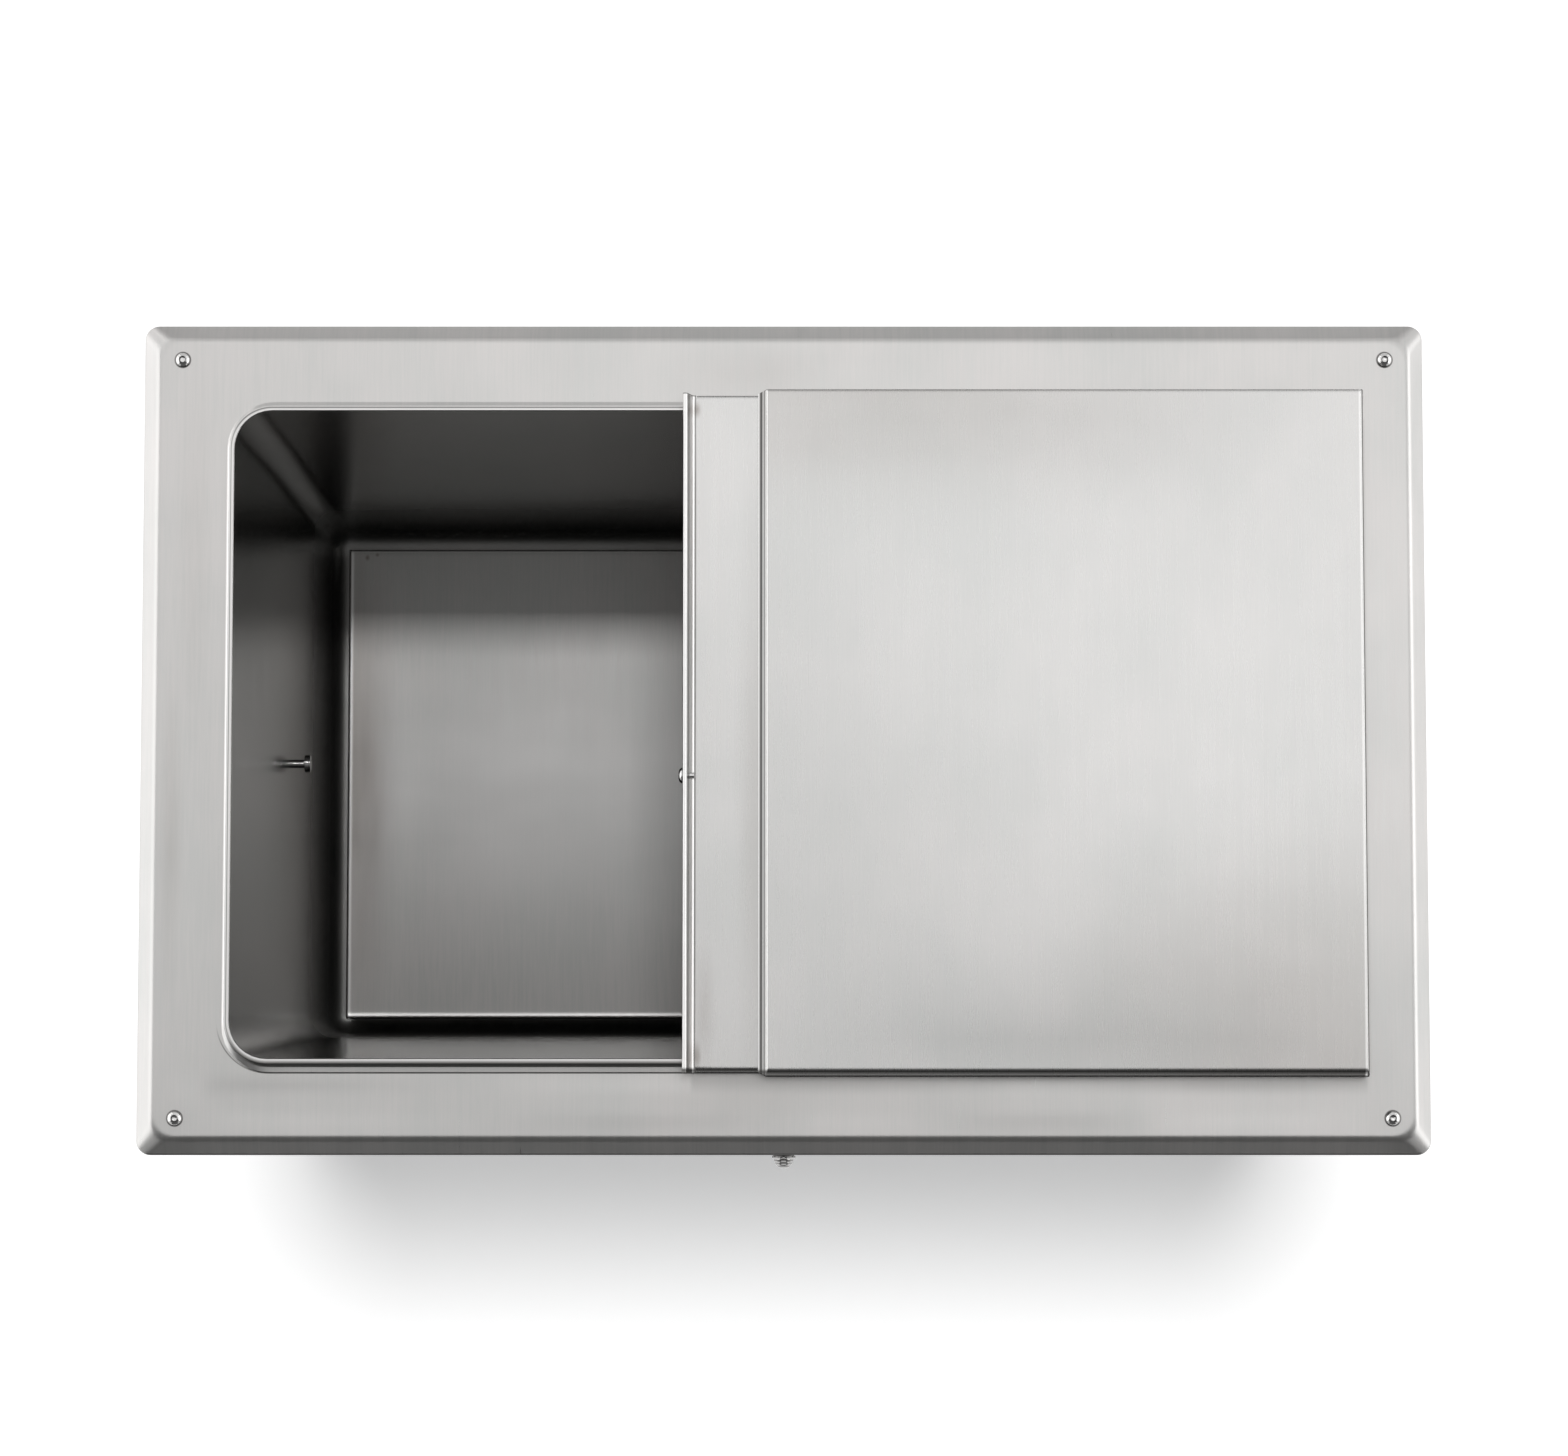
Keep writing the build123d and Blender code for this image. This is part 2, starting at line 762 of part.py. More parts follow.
def cover_glide(side):
    length = sliding_cover_right - sliding_cover_left - 20
    x_middle = (sliding_cover_right + sliding_cover_left) / 2
    strip = Box(length, glide_width, glide_thickness, align=(Align.CENTER, Align.CENTER, Align.MAX))
    middle = (opening_depth + collar_land) / 2
    return Pos(x_middle, side * middle + well_shift, panel_underside) * strip


def fixed_cover_profile(inset, bottom):
    left = fixed_cover_left + inset
    right = fixed_cover_right - inset
    top = fixed_top - inset
    radius = fixed_cover_right_radius - inset
    return outline([(left, bottom, 0), (right, bottom, 0), (right, top, radius), (left, top, 1.4 - inset)])


def fixed_cover_form(inset, bottom):
    half = fixed_cover_width / 2 - inset
    form = run_along_y(fixed_cover_profile(inset, bottom), -half, half)
    radius = fixed_cover_bend_radius - inset
    side = tray_profile(half, fixed_top - inset, bottom, radius)
    return form & run_along_x(side, fixed_cover_left - 20, fixed_cover_right + 20)


def step_edge():
    """The upper cover's left edge: a short drop and a flange that reaches left."""
    half = fixed_cover_width / 2
    z_low = panel_top + step_edge_gap
    left = fixed_cover_left
    end = left - step_edge_reach
    sheet = cover_sheet
    corners = [
        (end, z_low, 0.4),
        (left + sheet, z_low, 0.5),
        (left + sheet, fixed_top - 1, 0),
        (left, fixed_top - 1, 0),
        (left, z_low + sheet, 0.5),
        (end, z_low + sheet, 0.4),
    ]
    edge = run_along_y(outline(corners), -half, half)
    side = tray_profile(half, fixed_top, z_low - 1, fixed_cover_bend_radius)
    edge &= run_along_x(side, end - 1, left + sheet)
    trimmed = half - step_edge_trim
    plan = outline([
        (end, -trimmed, 0),
        (left, -half, 0),
        (left + sheet, -half, 0),
        (left + sheet, half, 0),
        (left, half, 0),
        (end, trimmed, 0),
    ])
    return edge & extrude(plan, amount=2 * fixed_top)


def fixed_cover_panel():
    bottom = deck_height + rest_gap
    cover = fixed_cover_form(0, bottom)
    hollow = fixed_cover_form(cover_sheet, bottom - 1)
    cover -= hollow + Pos(-2 * cover_sheet, 0, 0) * hollow
    cover += step_edge()
    cover -= front_foot_cut()
    cover += skirt_flare()
    return Pos(0, well_shift, 0) * cover


def front_foot_cut():
    """Rounds the front skirt's left foot and slopes its right foot up to the corner."""
    half = fixed_cover_width / 2
    low = deck_height - 1
    right = fixed_cover_right
    rise = deck_height + skirt_foot_rise
    slope = outline([(right - skirt_foot_cut, low, 0), (right + 1, low, 0), (right + 1, rise, 0)])
    left = fixed_cover_left
    radius = skirt_front_radius
    square = outline([
        (left - 1, low, 0),
        (left + radius, low, 0),
        (left + radius, low + 1, 0),
        (left, low + 1 + radius, 0),
        (left - 1, low + 1 + radius, 0),
    ])
    return run_along_y(slope, -half - 1, -half + 2) + run_along_y(square, -half - 1, -half + 2)


def skirt_flare():
    """The back end of the right skirt stands out a little and ends in a small tab."""
    right = fixed_cover_right - 0.2
    back = fixed_cover_width / 2 - fixed_cover_right_radius
    plan = outline([
        (right, back - flare_length, 0),
        (right + flare_width, back - 2.2, 0),
        (right + flare_tab, back - 2.0, 0),
        (right + flare_tab, back, 0),
        (right, back, 0),
    ])
    return Pos(0, 0, panel_top - 2 * cover_sheet) * extrude(plan, amount=2 * cover_sheet + 2)


def cover_locators():
    """Blocks between the collar's right side and the upper cover's right skirt."""
    blocks = []
    x0 = opening_length / 2 + collar_side_foot + locator_gap
    x1 = fixed_cover_right - cover_sheet
    z0 = deck_height + rest_gap
    for side in (-1, 1):
        y0 = side * locator_spacing / 2 + well_shift - locator_length / 2
        blocks.append(block(x0, x1, y0, y0 + locator_length, z0, z0 + collar_height - 1))
    return Compound(children=blocks)


parts = {
    "deck_top": deck_top(),
    "well_liner": well_liner(),
    "insulation_foam": insulation_foam(),
    "outer_casing": outer_casing(),
    "casing_bottom": casing_bottom(),
    "thermal_break": thermal_break(),
    "casing_studs": casing_studs(),
    "casing_nuts": casing_nuts(),
    "casing_rivets": casing_rivets(),
    "front_batten": front_batten(),
    "back_batten": long_batten(1),
    "left_batten": short_batten(-1),
    "right_batten": short_batten(1),
    "edge_seal": edge_seal(),
    "corner_screws": corner_screws(),
    "front_cap_nut": front_cap_nut(),
    "front_lip_stud": front_lip_stud(),
    "front_lip_nut": front_lip_nut(),
    "wall_pin": wall_pin(),
    "wall_pin_nut": wall_pin_nut(),
    "drain_body": drain_body(),
    "drain_strainer": drain_strainer(),
    "drain_gasket": drain_gasket(),
    "drain_locknut": drain_locknut(),
    "false_bottom_plate": false_bottom_plate(),
    "false_bottom_rib": false_bottom_rib(),
    "false_bottom_feet": false_bottom_feet(),
    "sliding_cover_panel": sliding_cover_panel(),
    "finger_stud": finger_stud(),
    "front_glide": cover_glide(-1),
    "back_glide": cover_glide(1),
    "fixed_cover_panel": fixed_cover_panel(),
    "cover_locators": cover_locators(),
}

os.makedirs("parts", exist_ok=True)
for name, shape in parts.items():
    export_step(shape, f"parts/{name}.step")
    print(name, len(shape.solids()), round(shape.volume, 1))
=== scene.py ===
import math

import bmesh
import bpy
from mathutils import Matrix, Vector, noise


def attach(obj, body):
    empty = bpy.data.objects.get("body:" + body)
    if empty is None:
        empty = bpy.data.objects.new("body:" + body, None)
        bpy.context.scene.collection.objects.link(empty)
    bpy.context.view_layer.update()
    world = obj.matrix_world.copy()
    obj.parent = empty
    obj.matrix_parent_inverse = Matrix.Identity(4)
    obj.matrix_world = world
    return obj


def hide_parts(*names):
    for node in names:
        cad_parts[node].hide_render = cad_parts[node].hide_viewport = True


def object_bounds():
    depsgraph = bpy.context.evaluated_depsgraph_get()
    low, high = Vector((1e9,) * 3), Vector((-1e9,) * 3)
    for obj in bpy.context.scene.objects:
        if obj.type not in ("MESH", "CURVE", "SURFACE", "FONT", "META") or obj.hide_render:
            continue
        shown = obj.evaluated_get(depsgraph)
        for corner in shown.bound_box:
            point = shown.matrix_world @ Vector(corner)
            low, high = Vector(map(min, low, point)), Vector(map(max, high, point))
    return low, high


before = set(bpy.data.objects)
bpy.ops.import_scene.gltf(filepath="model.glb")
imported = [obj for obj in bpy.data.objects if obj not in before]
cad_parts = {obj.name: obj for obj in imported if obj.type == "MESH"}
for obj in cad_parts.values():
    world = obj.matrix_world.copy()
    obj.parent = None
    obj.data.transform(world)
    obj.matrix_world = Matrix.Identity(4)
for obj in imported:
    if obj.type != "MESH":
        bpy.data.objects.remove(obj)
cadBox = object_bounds()
scene = bpy.context.scene
mm = 0.001
screwPlaces = (381.5, 240.0)  # these four are in mm, as the sizes of the pieces are
opening = (-347.0, 347.0, -202.75, 205.75)
openingMiddle = 1.5
openingRadius = 24.0
print("ice bin: frame loaded,", len(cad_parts), "nodes")


def added(name, data):
    made = bpy.data.objects.new(name, data)
    scene.collection.objects.link(made)
    return made


# camera: nearly overhead, tipped towards the back, for a 1568 x 1456 frame
cameraSetup = {
    "position": (0.00022, -0.25607, 3.0186),
    "tip": 5.0,
    "lens": 109.2,
    "sensor": 36.0,
    "farEnd": 60.0,
}


def makeCamera():
    data = bpy.data.cameras.new("overheadCamera")
    data.lens = cameraSetup["lens"]
    data.sensor_width = cameraSetup["sensor"]
    data.sensor_fit = "HORIZONTAL"
    data.clip_end = cameraSetup["farEnd"]
    camera = added("overheadCamera", data)
    camera.location = cameraSetup["position"]
    camera.rotation_euler = (math.radians(cameraSetup["tip"]), 0, 0)
    scene.camera = camera


makeCamera()
print("camera set")


# a wire is an output socket, and sums on wires add Math nodes
class Wire:
    def __init__(self, tree, socket):
        self.tree = tree
        self.socket = socket

    def math(self, operation, *values):
        made = self.tree.nodes.new("ShaderNodeMath")
        made.operation = operation
        for index, value in enumerate(values):
            connect(self.tree, value, made.inputs[index])
        return Wire(self.tree, made.outputs[0])

    def __add__(self, other):
        return self.math("ADD", self, other)

    def __radd__(self, other):
        return self.math("ADD", other, self)

    def __sub__(self, other):
        return self.math("SUBTRACT", self, other)

    def __rsub__(self, other):
        return self.math("SUBTRACT", other, self)

    def __mul__(self, other):
        return self.math("MULTIPLY", self, other)

    def __rmul__(self, other):
        return self.math("MULTIPLY", other, self)

    def __truediv__(self, other):
        return self.math("DIVIDE", self, other)

    def __abs__(self):
        return self.math("ABSOLUTE", self)


def connect(tree, value, socket):
    if isinstance(value, Wire):
        tree.links.new(value.socket, socket)
    else:
        socket.default_value = value


class Finish:
    def __init__(self, name):
        self.material = bpy.data.materials.new(name)
        self.material.use_nodes = True
        self.tree = self.material.node_tree
        self.tree.nodes.clear()
        self.place = self.node("ShaderNodeTexCoord", output="Object")

    def node(self, kind, settings=None, inputs=None, output=0):
        made = self.tree.nodes.new(kind)
        for key, value in (settings or {}).items():
            if key == "stops":
                setStops(made.color_ramp.elements, value)
            else:
                setattr(made, key, value)
        for key, value in (inputs or {}).items():
            connect(self.tree, value, made.inputs[key])
        return None if output is None else Wire(self.tree, made.outputs[output])

    def stretched(self, cell, shift=(0, 0, 0)):  # coordinates counted in cells of that size, in metres
        scale = [1 / size for size in cell]
        return self.node("ShaderNodeMapping", None, {"Vector": self.place, "Scale": scale, "Location": shift})

    def noise(self, cell, detail=2.0, rough=0.5, shift=(0, 0, 0)):
        where = self.stretched(cell, shift)
        inputs = {"Vector": where, "Scale": 1.0, "Detail": detail, "Roughness": rough}
        return self.node("ShaderNodeTexNoise", None, inputs)

    def ramp(self, value, stops):
        return self.node("ShaderNodeValToRGB", {"stops": stops}, {0: value})

    def axis(self, name):
        return self.node("ShaderNodeSeparateXYZ", None, {0: self.place}, name)

    def mix(self, share, first, second):
        return self.node("ShaderNodeMix", {"data_type": "RGBA"}, {0: share, 6: first, 7: second}, 2)

    def bump(self, height, depth):  # depth in metres
        return self.node("ShaderNodeBump", None, {"Height": height, "Distance": depth})

    def spot(self, centre, reach):  # 1 at a place, falling to 0 at its reach, both in metres
        offset = self.node("ShaderNodeVectorMath", {"operation": "SUBTRACT"}, {0: self.place, 1: centre})
        scaled = self.node("ShaderNodeVectorMath", {"operation": "DIVIDE"}, {0: offset, 1: reach})
        distance = self.node("ShaderNodeVectorMath", {"operation": "LENGTH"}, {0: scaled}, "Value")
        return self.rise(distance, 1.0, 0.0)

    def band(self, value, centre, half):  # 1 on a line, falling to 0 at half a width from it
        return self.rise(abs(value - centre), half, 0.0)

    def rise(self, value, low, high):  # 0 below low, 1 above high, or the other way round
        return self.node("ShaderNodeMapRange", {"interpolation_type": "SMOOTHSTEP"},
                         {"Value": value, "From Min": low, "From Max": high})

    def lined(self, tone, lines):  # lines is a function that gives pairs of share and tint, or None
        for line, tint in lines(self) if lines else []:
            tone = self.mix(line, tone, tint)
        return tone

    def metal(self, tone, rough, normal):
        return self.surface({"Base Color": tone, "Metallic": 1.0, "Roughness": rough, "Normal": normal})

    def surface(self, inputs):
        shader = self.node("ShaderNodeBsdfPrincipled", None, inputs)
        self.node("ShaderNodeOutputMaterial", None, {"Surface": shader}, None)
        return self.material


def setStops(elements, stops):
    while len(elements) < len(stops):
        elements.new(1.0)
    for element, (at, grey) in zip(elements, stops):
        element.position = at
        element.color = (grey, grey, grey, 1)


# brushed stainless: cells are the size of the grain, streaks and clouds along X, Y, Z in metres
brushedLooks = {
    "deckSatin": {
        "grain": (0.0014, 0.045, 0.060),
        "sideGrain": (0.060, 0.045, 0.0014),
        "streak": (0.0060, 0.160, 0.160),
        "cloud": (0.070, 0.110, 0.070),
        "bright": (0.636, 0.620, 0.609, 1),
        "dull": (0.578, 0.577, 0.566, 1),
        "roughness": 0.30,
        "grainShade": 1.8,
        "grainSpread": 0.10,
        "grainDepth": 0.000006,
    },
    "linerSatin": {
        "grain": (0.050, 0.050, 0.0030),
        "streak": (0.180, 0.180, 0.020),
        "cloud": (0.090, 0.090, 0.120),
        "bright": (0.582, 0.570, 0.559, 1),
        "dull": (0.529, 0.532, 0.519, 1),
        "roughness": 0.24,
        "grainShade": 1.4,
        "grainSpread": 0.10,
        "grainDepth": 0.000014,
        "roughFoot": (-0.250, -0.345, 0.19),
    },
    "plateSatin": {
        "grain": (0.0016, 0.040, 0.060),
        "sideGrain": (0.060, 0.040, 0.0016),
        "streak": (0.0080, 0.120, 0.120),
        "cloud": (0.060, 0.080, 0.060),
        "bright": (0.610, 0.595, 0.583, 1),
        "dull": (0.560, 0.562, 0.548, 1),
        "roughness": 0.37,
        "grainShade": 3.2,
        "grainSpread": 0.08,
        "grainDepth": 0.000006,
    },
    "coverSatin": {
        "grain": (0.0014, 0.055, 0.060),
        "sideGrain": (0.060, 0.055, 0.0014),
        "streak": (0.0055, 0.200, 0.200),
        "cloud": (0.090, 0.120, 0.090),
        "bright": (0.654, 0.645, 0.636, 1),
        "dull": (0.600, 0.602, 0.592, 1),
        "roughness": 0.28,
        "grainShade": 1.6,
        "grainSpread": 0.08,
        "grainDepth": 0.000006,
    },
}
# what all brushed finishes share: noises are (detail, roughness, shift), stops are (value, share)
brushing = {
    "grainNoise": (3.0, 0.65),
    "streakNoise": (2.0, 0.5, (3.1, 1.7, 0.4)),
    "cloudNoise": (3.0, 0.55, (0.6, 2.3, 5.2)),
    "cloudStops": [(0.36, 0.0), (0.64, 1.0)],
    "cloudShare": 0.75,
    "streakShare": 0.25,
    "streakSpread": 0.03,
    "sideStops": [(0.6, 0.0), (0.8, 1.0)],
    "blotchCell": (0.012, 0.030, 0.012),
    "blotchNoise": (2.0, 0.6),
    "blotchLeast": 0.4,
}

# tints that lines and marks mix in: light is painted highlight, dark is painted shade, stainAndShade serves
# both real stains and painted shade
tints = {
    "light": (0.93, 0.92, 0.91, 1),
    "dark": (0.060, 0.058, 0.056, 1),
    "stainAndShade": (0.330, 0.300, 0.280, 1),
}
# darker and lighter places: centre and reach in metres, share, tint
marks = {
    "deck": [
        # stains where the deck is handled, worn and heat-tinted
        ((-0.386, -0.060, 0.030), (0.010, 0.130, 0.010), 0.22, "stainAndShade"),
        ((-0.372, 0.120, 0.030), (0.016, 0.160, 0.010), 0.12, "stainAndShade"),
        ((-0.020, 0.232, 0.030), (0.070, 0.022, 0.010), 0.13, "stainAndShade"),
        ((-0.030, -0.228, 0.030), (0.080, 0.022, 0.010), 0.13, "stainAndShade"),
    ],
    # a stain on the liner's left wall
    "liner": [((-0.339, -0.0410, -0.150), (0.008, 0.0030, 0.009), 1.00, "stainAndShade")],
    "plate": [
        # stains on the plate
        ((-0.2950, 0.1580, -0.330), (0.0024, 0.0030, 0.006), 1.00, "stainAndShade"),
        ((-0.2880, 0.1600, -0.330), (0.0020, 0.0020, 0.006), 0.90, "stainAndShade"),
        # painted highlight: the plate's middle is lighter
        ((-0.2000, -0.0100, -0.330), (0.300, 0.150, 0.020), 0.70, "light"),
        # darker along the plate's left edge, by the wall
        ((-0.3020, 0.0000, -0.330), (0.038, 0.230, 0.020), 0.80, "stainAndShade"),
    ],
    "slidingCover": [
        # darker at the lip's back and front ends, and by the lip towards the front
        ((-0.0550, 0.2060, 0.043), (0.004, 0.007, 0.012), 1.00, "stainAndShade"),
        ((-0.0545, -0.2010, 0.043), (0.004, 0.012, 0.012), 0.80, "stainAndShade"),
        ((-0.0500, -0.1700, 0.043), (0.010, 0.050, 0.012), 0.30, "stainAndShade"),
        # painted shade beside the upper cover's stepped edge
        ((-0.0180, -0.0400, 0.043), (0.016, 0.260, 0.012), 0.22, "stainAndShade"),
    ],
    "upperCover": [
        # painted shade: the upper cover is darker at the back and at the front right
        ((0.040, 0.225, 0.050), (0.330, 0.110, 0.050), 0.36, "stainAndShade"),
        ((0.340, -0.180, 0.050), (0.230, 0.170, 0.050), 0.38, "stainAndShade"),
    ],
}
# painted highlights and shade along folds, edges and grooves: axis, place and half a width in metres, share,
# tint
paintedLines = {
    # painted shade along the deck's front and back edges, darker in front
    "deck": [
        ("Y", -0.2630, 0.0016, 0.90, "dark"), ("Y", 0.2630, 0.0010, 0.40, "dark"),
    ],
    # painted highlights on the plate's left, back and front bends
    "plate": [
        ("X", -0.3057, 0.0020, 0.90, "light"), ("Y", 0.1631, 0.0018, 0.95, "light"),
        ("Y", -0.1656, 0.0018, 0.80, "light"),
    ],
    # painted highlights and shade on the lip's bead and root, then painted shade on the front and back bends
    "slidingCover": [
        ("X", -0.0618, 0.0014, 0.80, "light"), ("X", -0.0597, 0.0009, 0.80, "dark"),
        ("X", -0.0574, 0.0012, 1.00, "light"), ("X", -0.0557, 0.0007, 0.70, "dark"),
        ("Y", -0.2102, 0.0022, 0.90, "dark"), ("Y", -0.2122, 0.0026, 0.95, "dark"),
        ("Y", 0.2150, 0.0010, 0.85, "dark"),
    ],
    # painted highlights and shade along the stepped left edge, painted shade on the front and back bends,
    # then a painted highlight and shade at the right bend
    "upperCover": [
        ("X", -0.0158, 0.0009, 1.00, "light"), ("X", -0.01415, 0.0014, 0.95, "dark"),
        ("X", -0.0121, 0.0008, 0.65, "dark"), ("X", -0.0107, 0.0011, 1.00, "light"),
        ("Y", -0.2112, 0.0024, 0.85, "dark"), ("Y", -0.2138, 0.0034, 0.95, "dark"),
        ("Y", 0.2184, 0.0012, 0.85, "dark"), ("X", 0.3632, 0.0012, 0.80, "light"),
        ("X", 0.3648, 0.0011, 0.95, "dark"),
    ],
    # painted shade in rings across the cap nut
    "nut": [
        ("Y", -0.2640, 0.0009, 0.85, "dark"), ("Y", -0.2662, 0.0007, 0.75, "dark"),
        ("Y", -0.2681, 0.0006, 0.70, "dark"), ("Y", -0.2700, 0.0006, 0.75, "dark"),
        ("Y", -0.2716, 0.0007, 0.55, "dark"),
    ],
}
# painted highlights and shade round the collar: distance out from the opening and half a width in metres,
# share, tint
collarSheenAndShade = {
    "side": [
        (0.0010, 0.0012, 0.60, "light"), (0.0020, 0.0005, 0.55, "dark"), (0.0027, 0.0006, 0.80, "light"),
        (0.0037, 0.0008, 0.85, "dark"), (0.0046, 0.0007, 1.00, "light"),
    ],
    "front": [
        (0.0008, 0.0010, 0.70, "light"), (0.0034, 0.0024, 0.92, "dark"), (0.0090, 0.0007, 0.70, "dark"),
    ],
    "back": [
        (0.0008, 0.0009, 0.60, "light"), (0.0022, 0.0007, 0.75, "dark"), (0.0036, 0.0009, 0.70, "light"),
    ],
}
collarTurn = 0.020  # how far round a corner one side's lines pass over into the next
# painted contact shade on the deck along the covers' front edge and the upper cover's right edge: axis,
# place, half a width, then its ends along the other axis, share
coverEdgeShade = [
    ("Y", -0.2150, 0.0120, "X", -0.060, 0.364, 0.26), ("X", 0.3662, 0.0030, "Y", -0.213, 0.200, 0.22),
]
coverShadeEnd = 0.004
# painted shade and highlight round each corner screw: a contact shadow ring on the deck, and on the head a
# dark rim, a highlight ring and the socket's shade; distance from its axis and half a width in metres, share,
# tint
screwShading = {
    "deckShadowRing": (0.0050, 0.0006, 0.75, "dark"),
    "headSheenAndShade": [
        (0.0047, 0.0007, 0.90, "dark"), (0.0035, 0.0009, 0.90, "light"), (0.0019, 0.0007, 0.95, "dark"),
    ],
}
# the liner's front wall, with painted shade: where its darker tone starts and ends in Y and in Z, its share,
# and more at the foot
frontWallShade = {"turn": (-0.168, -0.188), "low": (0.0, -0.25), "share": 0.54, "more": 0.22}


def shrunk(box, side, front, back):
    return (box[0] + side, box[1] - side, box[2] + front, box[3] - back)


def paintedLinesOf(name):
    def lines(finish):
        return [(finish.band(finish.axis(axis), centre, half) * share, tints[tint])
                for axis, centre, half, share, tint in paintedLines[name]]
    return lines


def ringLines(finish, rings):
    aside = abs(finish.axis("X")) - screwPlaces[0] * mm
    along = abs(finish.axis("Y")) - screwPlaces[1] * mm
    away = aside.math("SQRT", aside * aside + along * along)
    return [(finish.band(away, centre, half) * share, tints[tint]) for centre, half, share, tint in rings]


# painted shade and highlight rings on each screw head
def screwHeadShading(finish):
    return ringLines(finish, screwShading["headSheenAndShade"])


# painted highlights and shade on the deck: its edge lines, the collar's lines, each screw's contact shadow
# and the covers' contact shade
def deckSheenAndShade(finish):
    x, y = finish.axis("X"), finish.axis("Y")
    left, right, low, high = [edge * mm for edge in shrunk(opening, *[openingRadius] * 3)]
    across = abs(x) - right
    along = abs(y - openingMiddle * mm) - (high - low) / 2
    across, along = across.math("MAXIMUM", across, 0.0), along.math("MAXIMUM", along, 0.0)
    away = across.math("SQRT", across * across + along * along) - openingRadius * mm
    front = finish.rise(y, low, low - collarTurn)
    back = finish.rise(y, high, high + collarTurn)
    where = {"front": front, "back": back, "side": 1.0 - front - back}
    lines = paintedLinesOf("deck")(finish)
    for side, places in collarSheenAndShade.items():
        for centre, half, share, tint in places:
            lines.append((finish.band(away, centre, half) * where[side] * share, tints[tint]))
    # painted contact shadow round each screw
    lines += ringLines(finish, [screwShading["deckShadowRing"]])
    # painted contact shade along the covers' edges
    for axis, place, half, other, low, high, share in coverEdgeShade:
        run = finish.axis(other)
        ends = finish.rise(run, low, low + coverShadeEnd) * finish.rise(run, high + coverShadeEnd, high)
        lines.append((finish.band(finish.axis(axis), place, half) * ends * share, tints["dark"]))
    return lines


def linerFrontShade(finish):  # painted shade: the front wall is darker, most of all low down
    look = frontWallShade
    front = finish.rise(finish.axis("Y"), *look["turn"])
    low = finish.rise(finish.axis("Z"), *look["low"])
    return [(front * (look["share"] + low * look["more"]), tints["dark"])]


def brushedSteel(name, places=(), lines=None):
    look = brushedLooks[name]
    finish = Finish(name)
    grain = finish.noise(look["grain"], *brushing["grainNoise"])
    if "sideGrain" in look:
        normal = finish.node("ShaderNodeTexCoord", output="Normal")
        facing = finish.node("ShaderNodeSeparateXYZ", None, {0: normal}, "X")
        side = finish.ramp(abs(facing), brushing["sideStops"])
        grain = finish.mix(side, grain, finish.noise(look["sideGrain"], *brushing["grainNoise"]))
    streak = finish.noise(look["streak"], *brushing["streakNoise"])
    cloud = finish.ramp(finish.noise(look["cloud"], *brushing["cloudNoise"]), brushing["cloudStops"])
    shade = cloud * brushing["cloudShare"] + streak * brushing["streakShare"]
    tone = finish.mix(shade + (grain - 0.5) * look["grainShade"], look["dull"], look["bright"])
    for centre, reach, share, tint in places:
        cells = [max(cell, size * 0.5) for cell, size in zip(brushing["blotchCell"], reach)]
        blotch = brushing["blotchLeast"] + finish.noise(cells, *brushing["blotchNoise"])
        tone = finish.mix(finish.spot(centre, reach) * blotch * share, tone, tints[tint])
    tone = finish.lined(tone, lines)
    rough = look["roughness"] + (grain - 0.5) * look["grainSpread"]
    rough = rough + (streak - 0.5) * brushing["streakSpread"]
    if "roughFoot" in look:  # rougher towards the walls' foot: from this height, to this one, by how much
        high, low, more = look["roughFoot"]
        rough = rough + finish.rise(finish.axis("Z"), high, low) * more
    return finish.metal(tone, rough, finish.bump(grain, look["grainDepth"]))


polishedLook = {
    "bright": (0.80, 0.79, 0.78),
    "dull": (0.66, 0.655, 0.65),
    "scratchCell": (0.0008, 0.0030, 0.0008),
    "scratchNoise": (4.0, 0.7),
    "scratchSpread": 0.14,
    "scratchDepth": 0.000006,
    "roughness": 0.13,
}


def polishedSteel(name, shade=1.0, lines=None):
    look = polishedLook
    finish = Finish(name)
    scratch = finish.noise(look["scratchCell"], *look["scratchNoise"])
    dull, bright = ([value * shade for value in look[key]] + [1] for key in ("dull", "bright"))
    tone = finish.lined(finish.mix(scratch, dull, bright), lines)
    rough = look["roughness"] + (scratch - 0.5) * look["scratchSpread"]
    return finish.metal(tone, rough, finish.bump(scratch, look["scratchDepth"]))


galvanisedLook = {
    "spangle": 0.0085,
    "spangleShare": 0.7,
    "spangleHeight": 0.4,
    "frost": 0.004,
    "frostNoise": (4.0, 0.6),
    "frostShare": 0.3,
    "light": (0.50, 0.512, 0.522, 1),
    "dark": (0.33, 0.342, 0.355, 1),
    "roughness": 0.40,
    "spread": 0.16,
    "depth": 0.00003,
}


def galvanisedSteel():
    look = galvanisedLook
    finish = Finish("galvanisedSteel")
    where = finish.stretched([look["spangle"]] * 3)
    flake = finish.node("ShaderNodeTexVoronoi", None, {"Vector": where, "Scale": 1.0}, "Color")
    shade = finish.node("ShaderNodeSeparateColor", None, {0: flake}, "Red")
    frost = finish.noise([look["frost"]] * 3, *look["frostNoise"])
    both = shade * look["spangleShare"] + frost * look["frostShare"]
    tone = finish.mix(both, look["dark"], look["light"])
    rough = look["roughness"] + (shade - 0.5) * look["spread"]
    return finish.metal(tone, rough, finish.bump(frost + shade * look["spangleHeight"], look["depth"]))


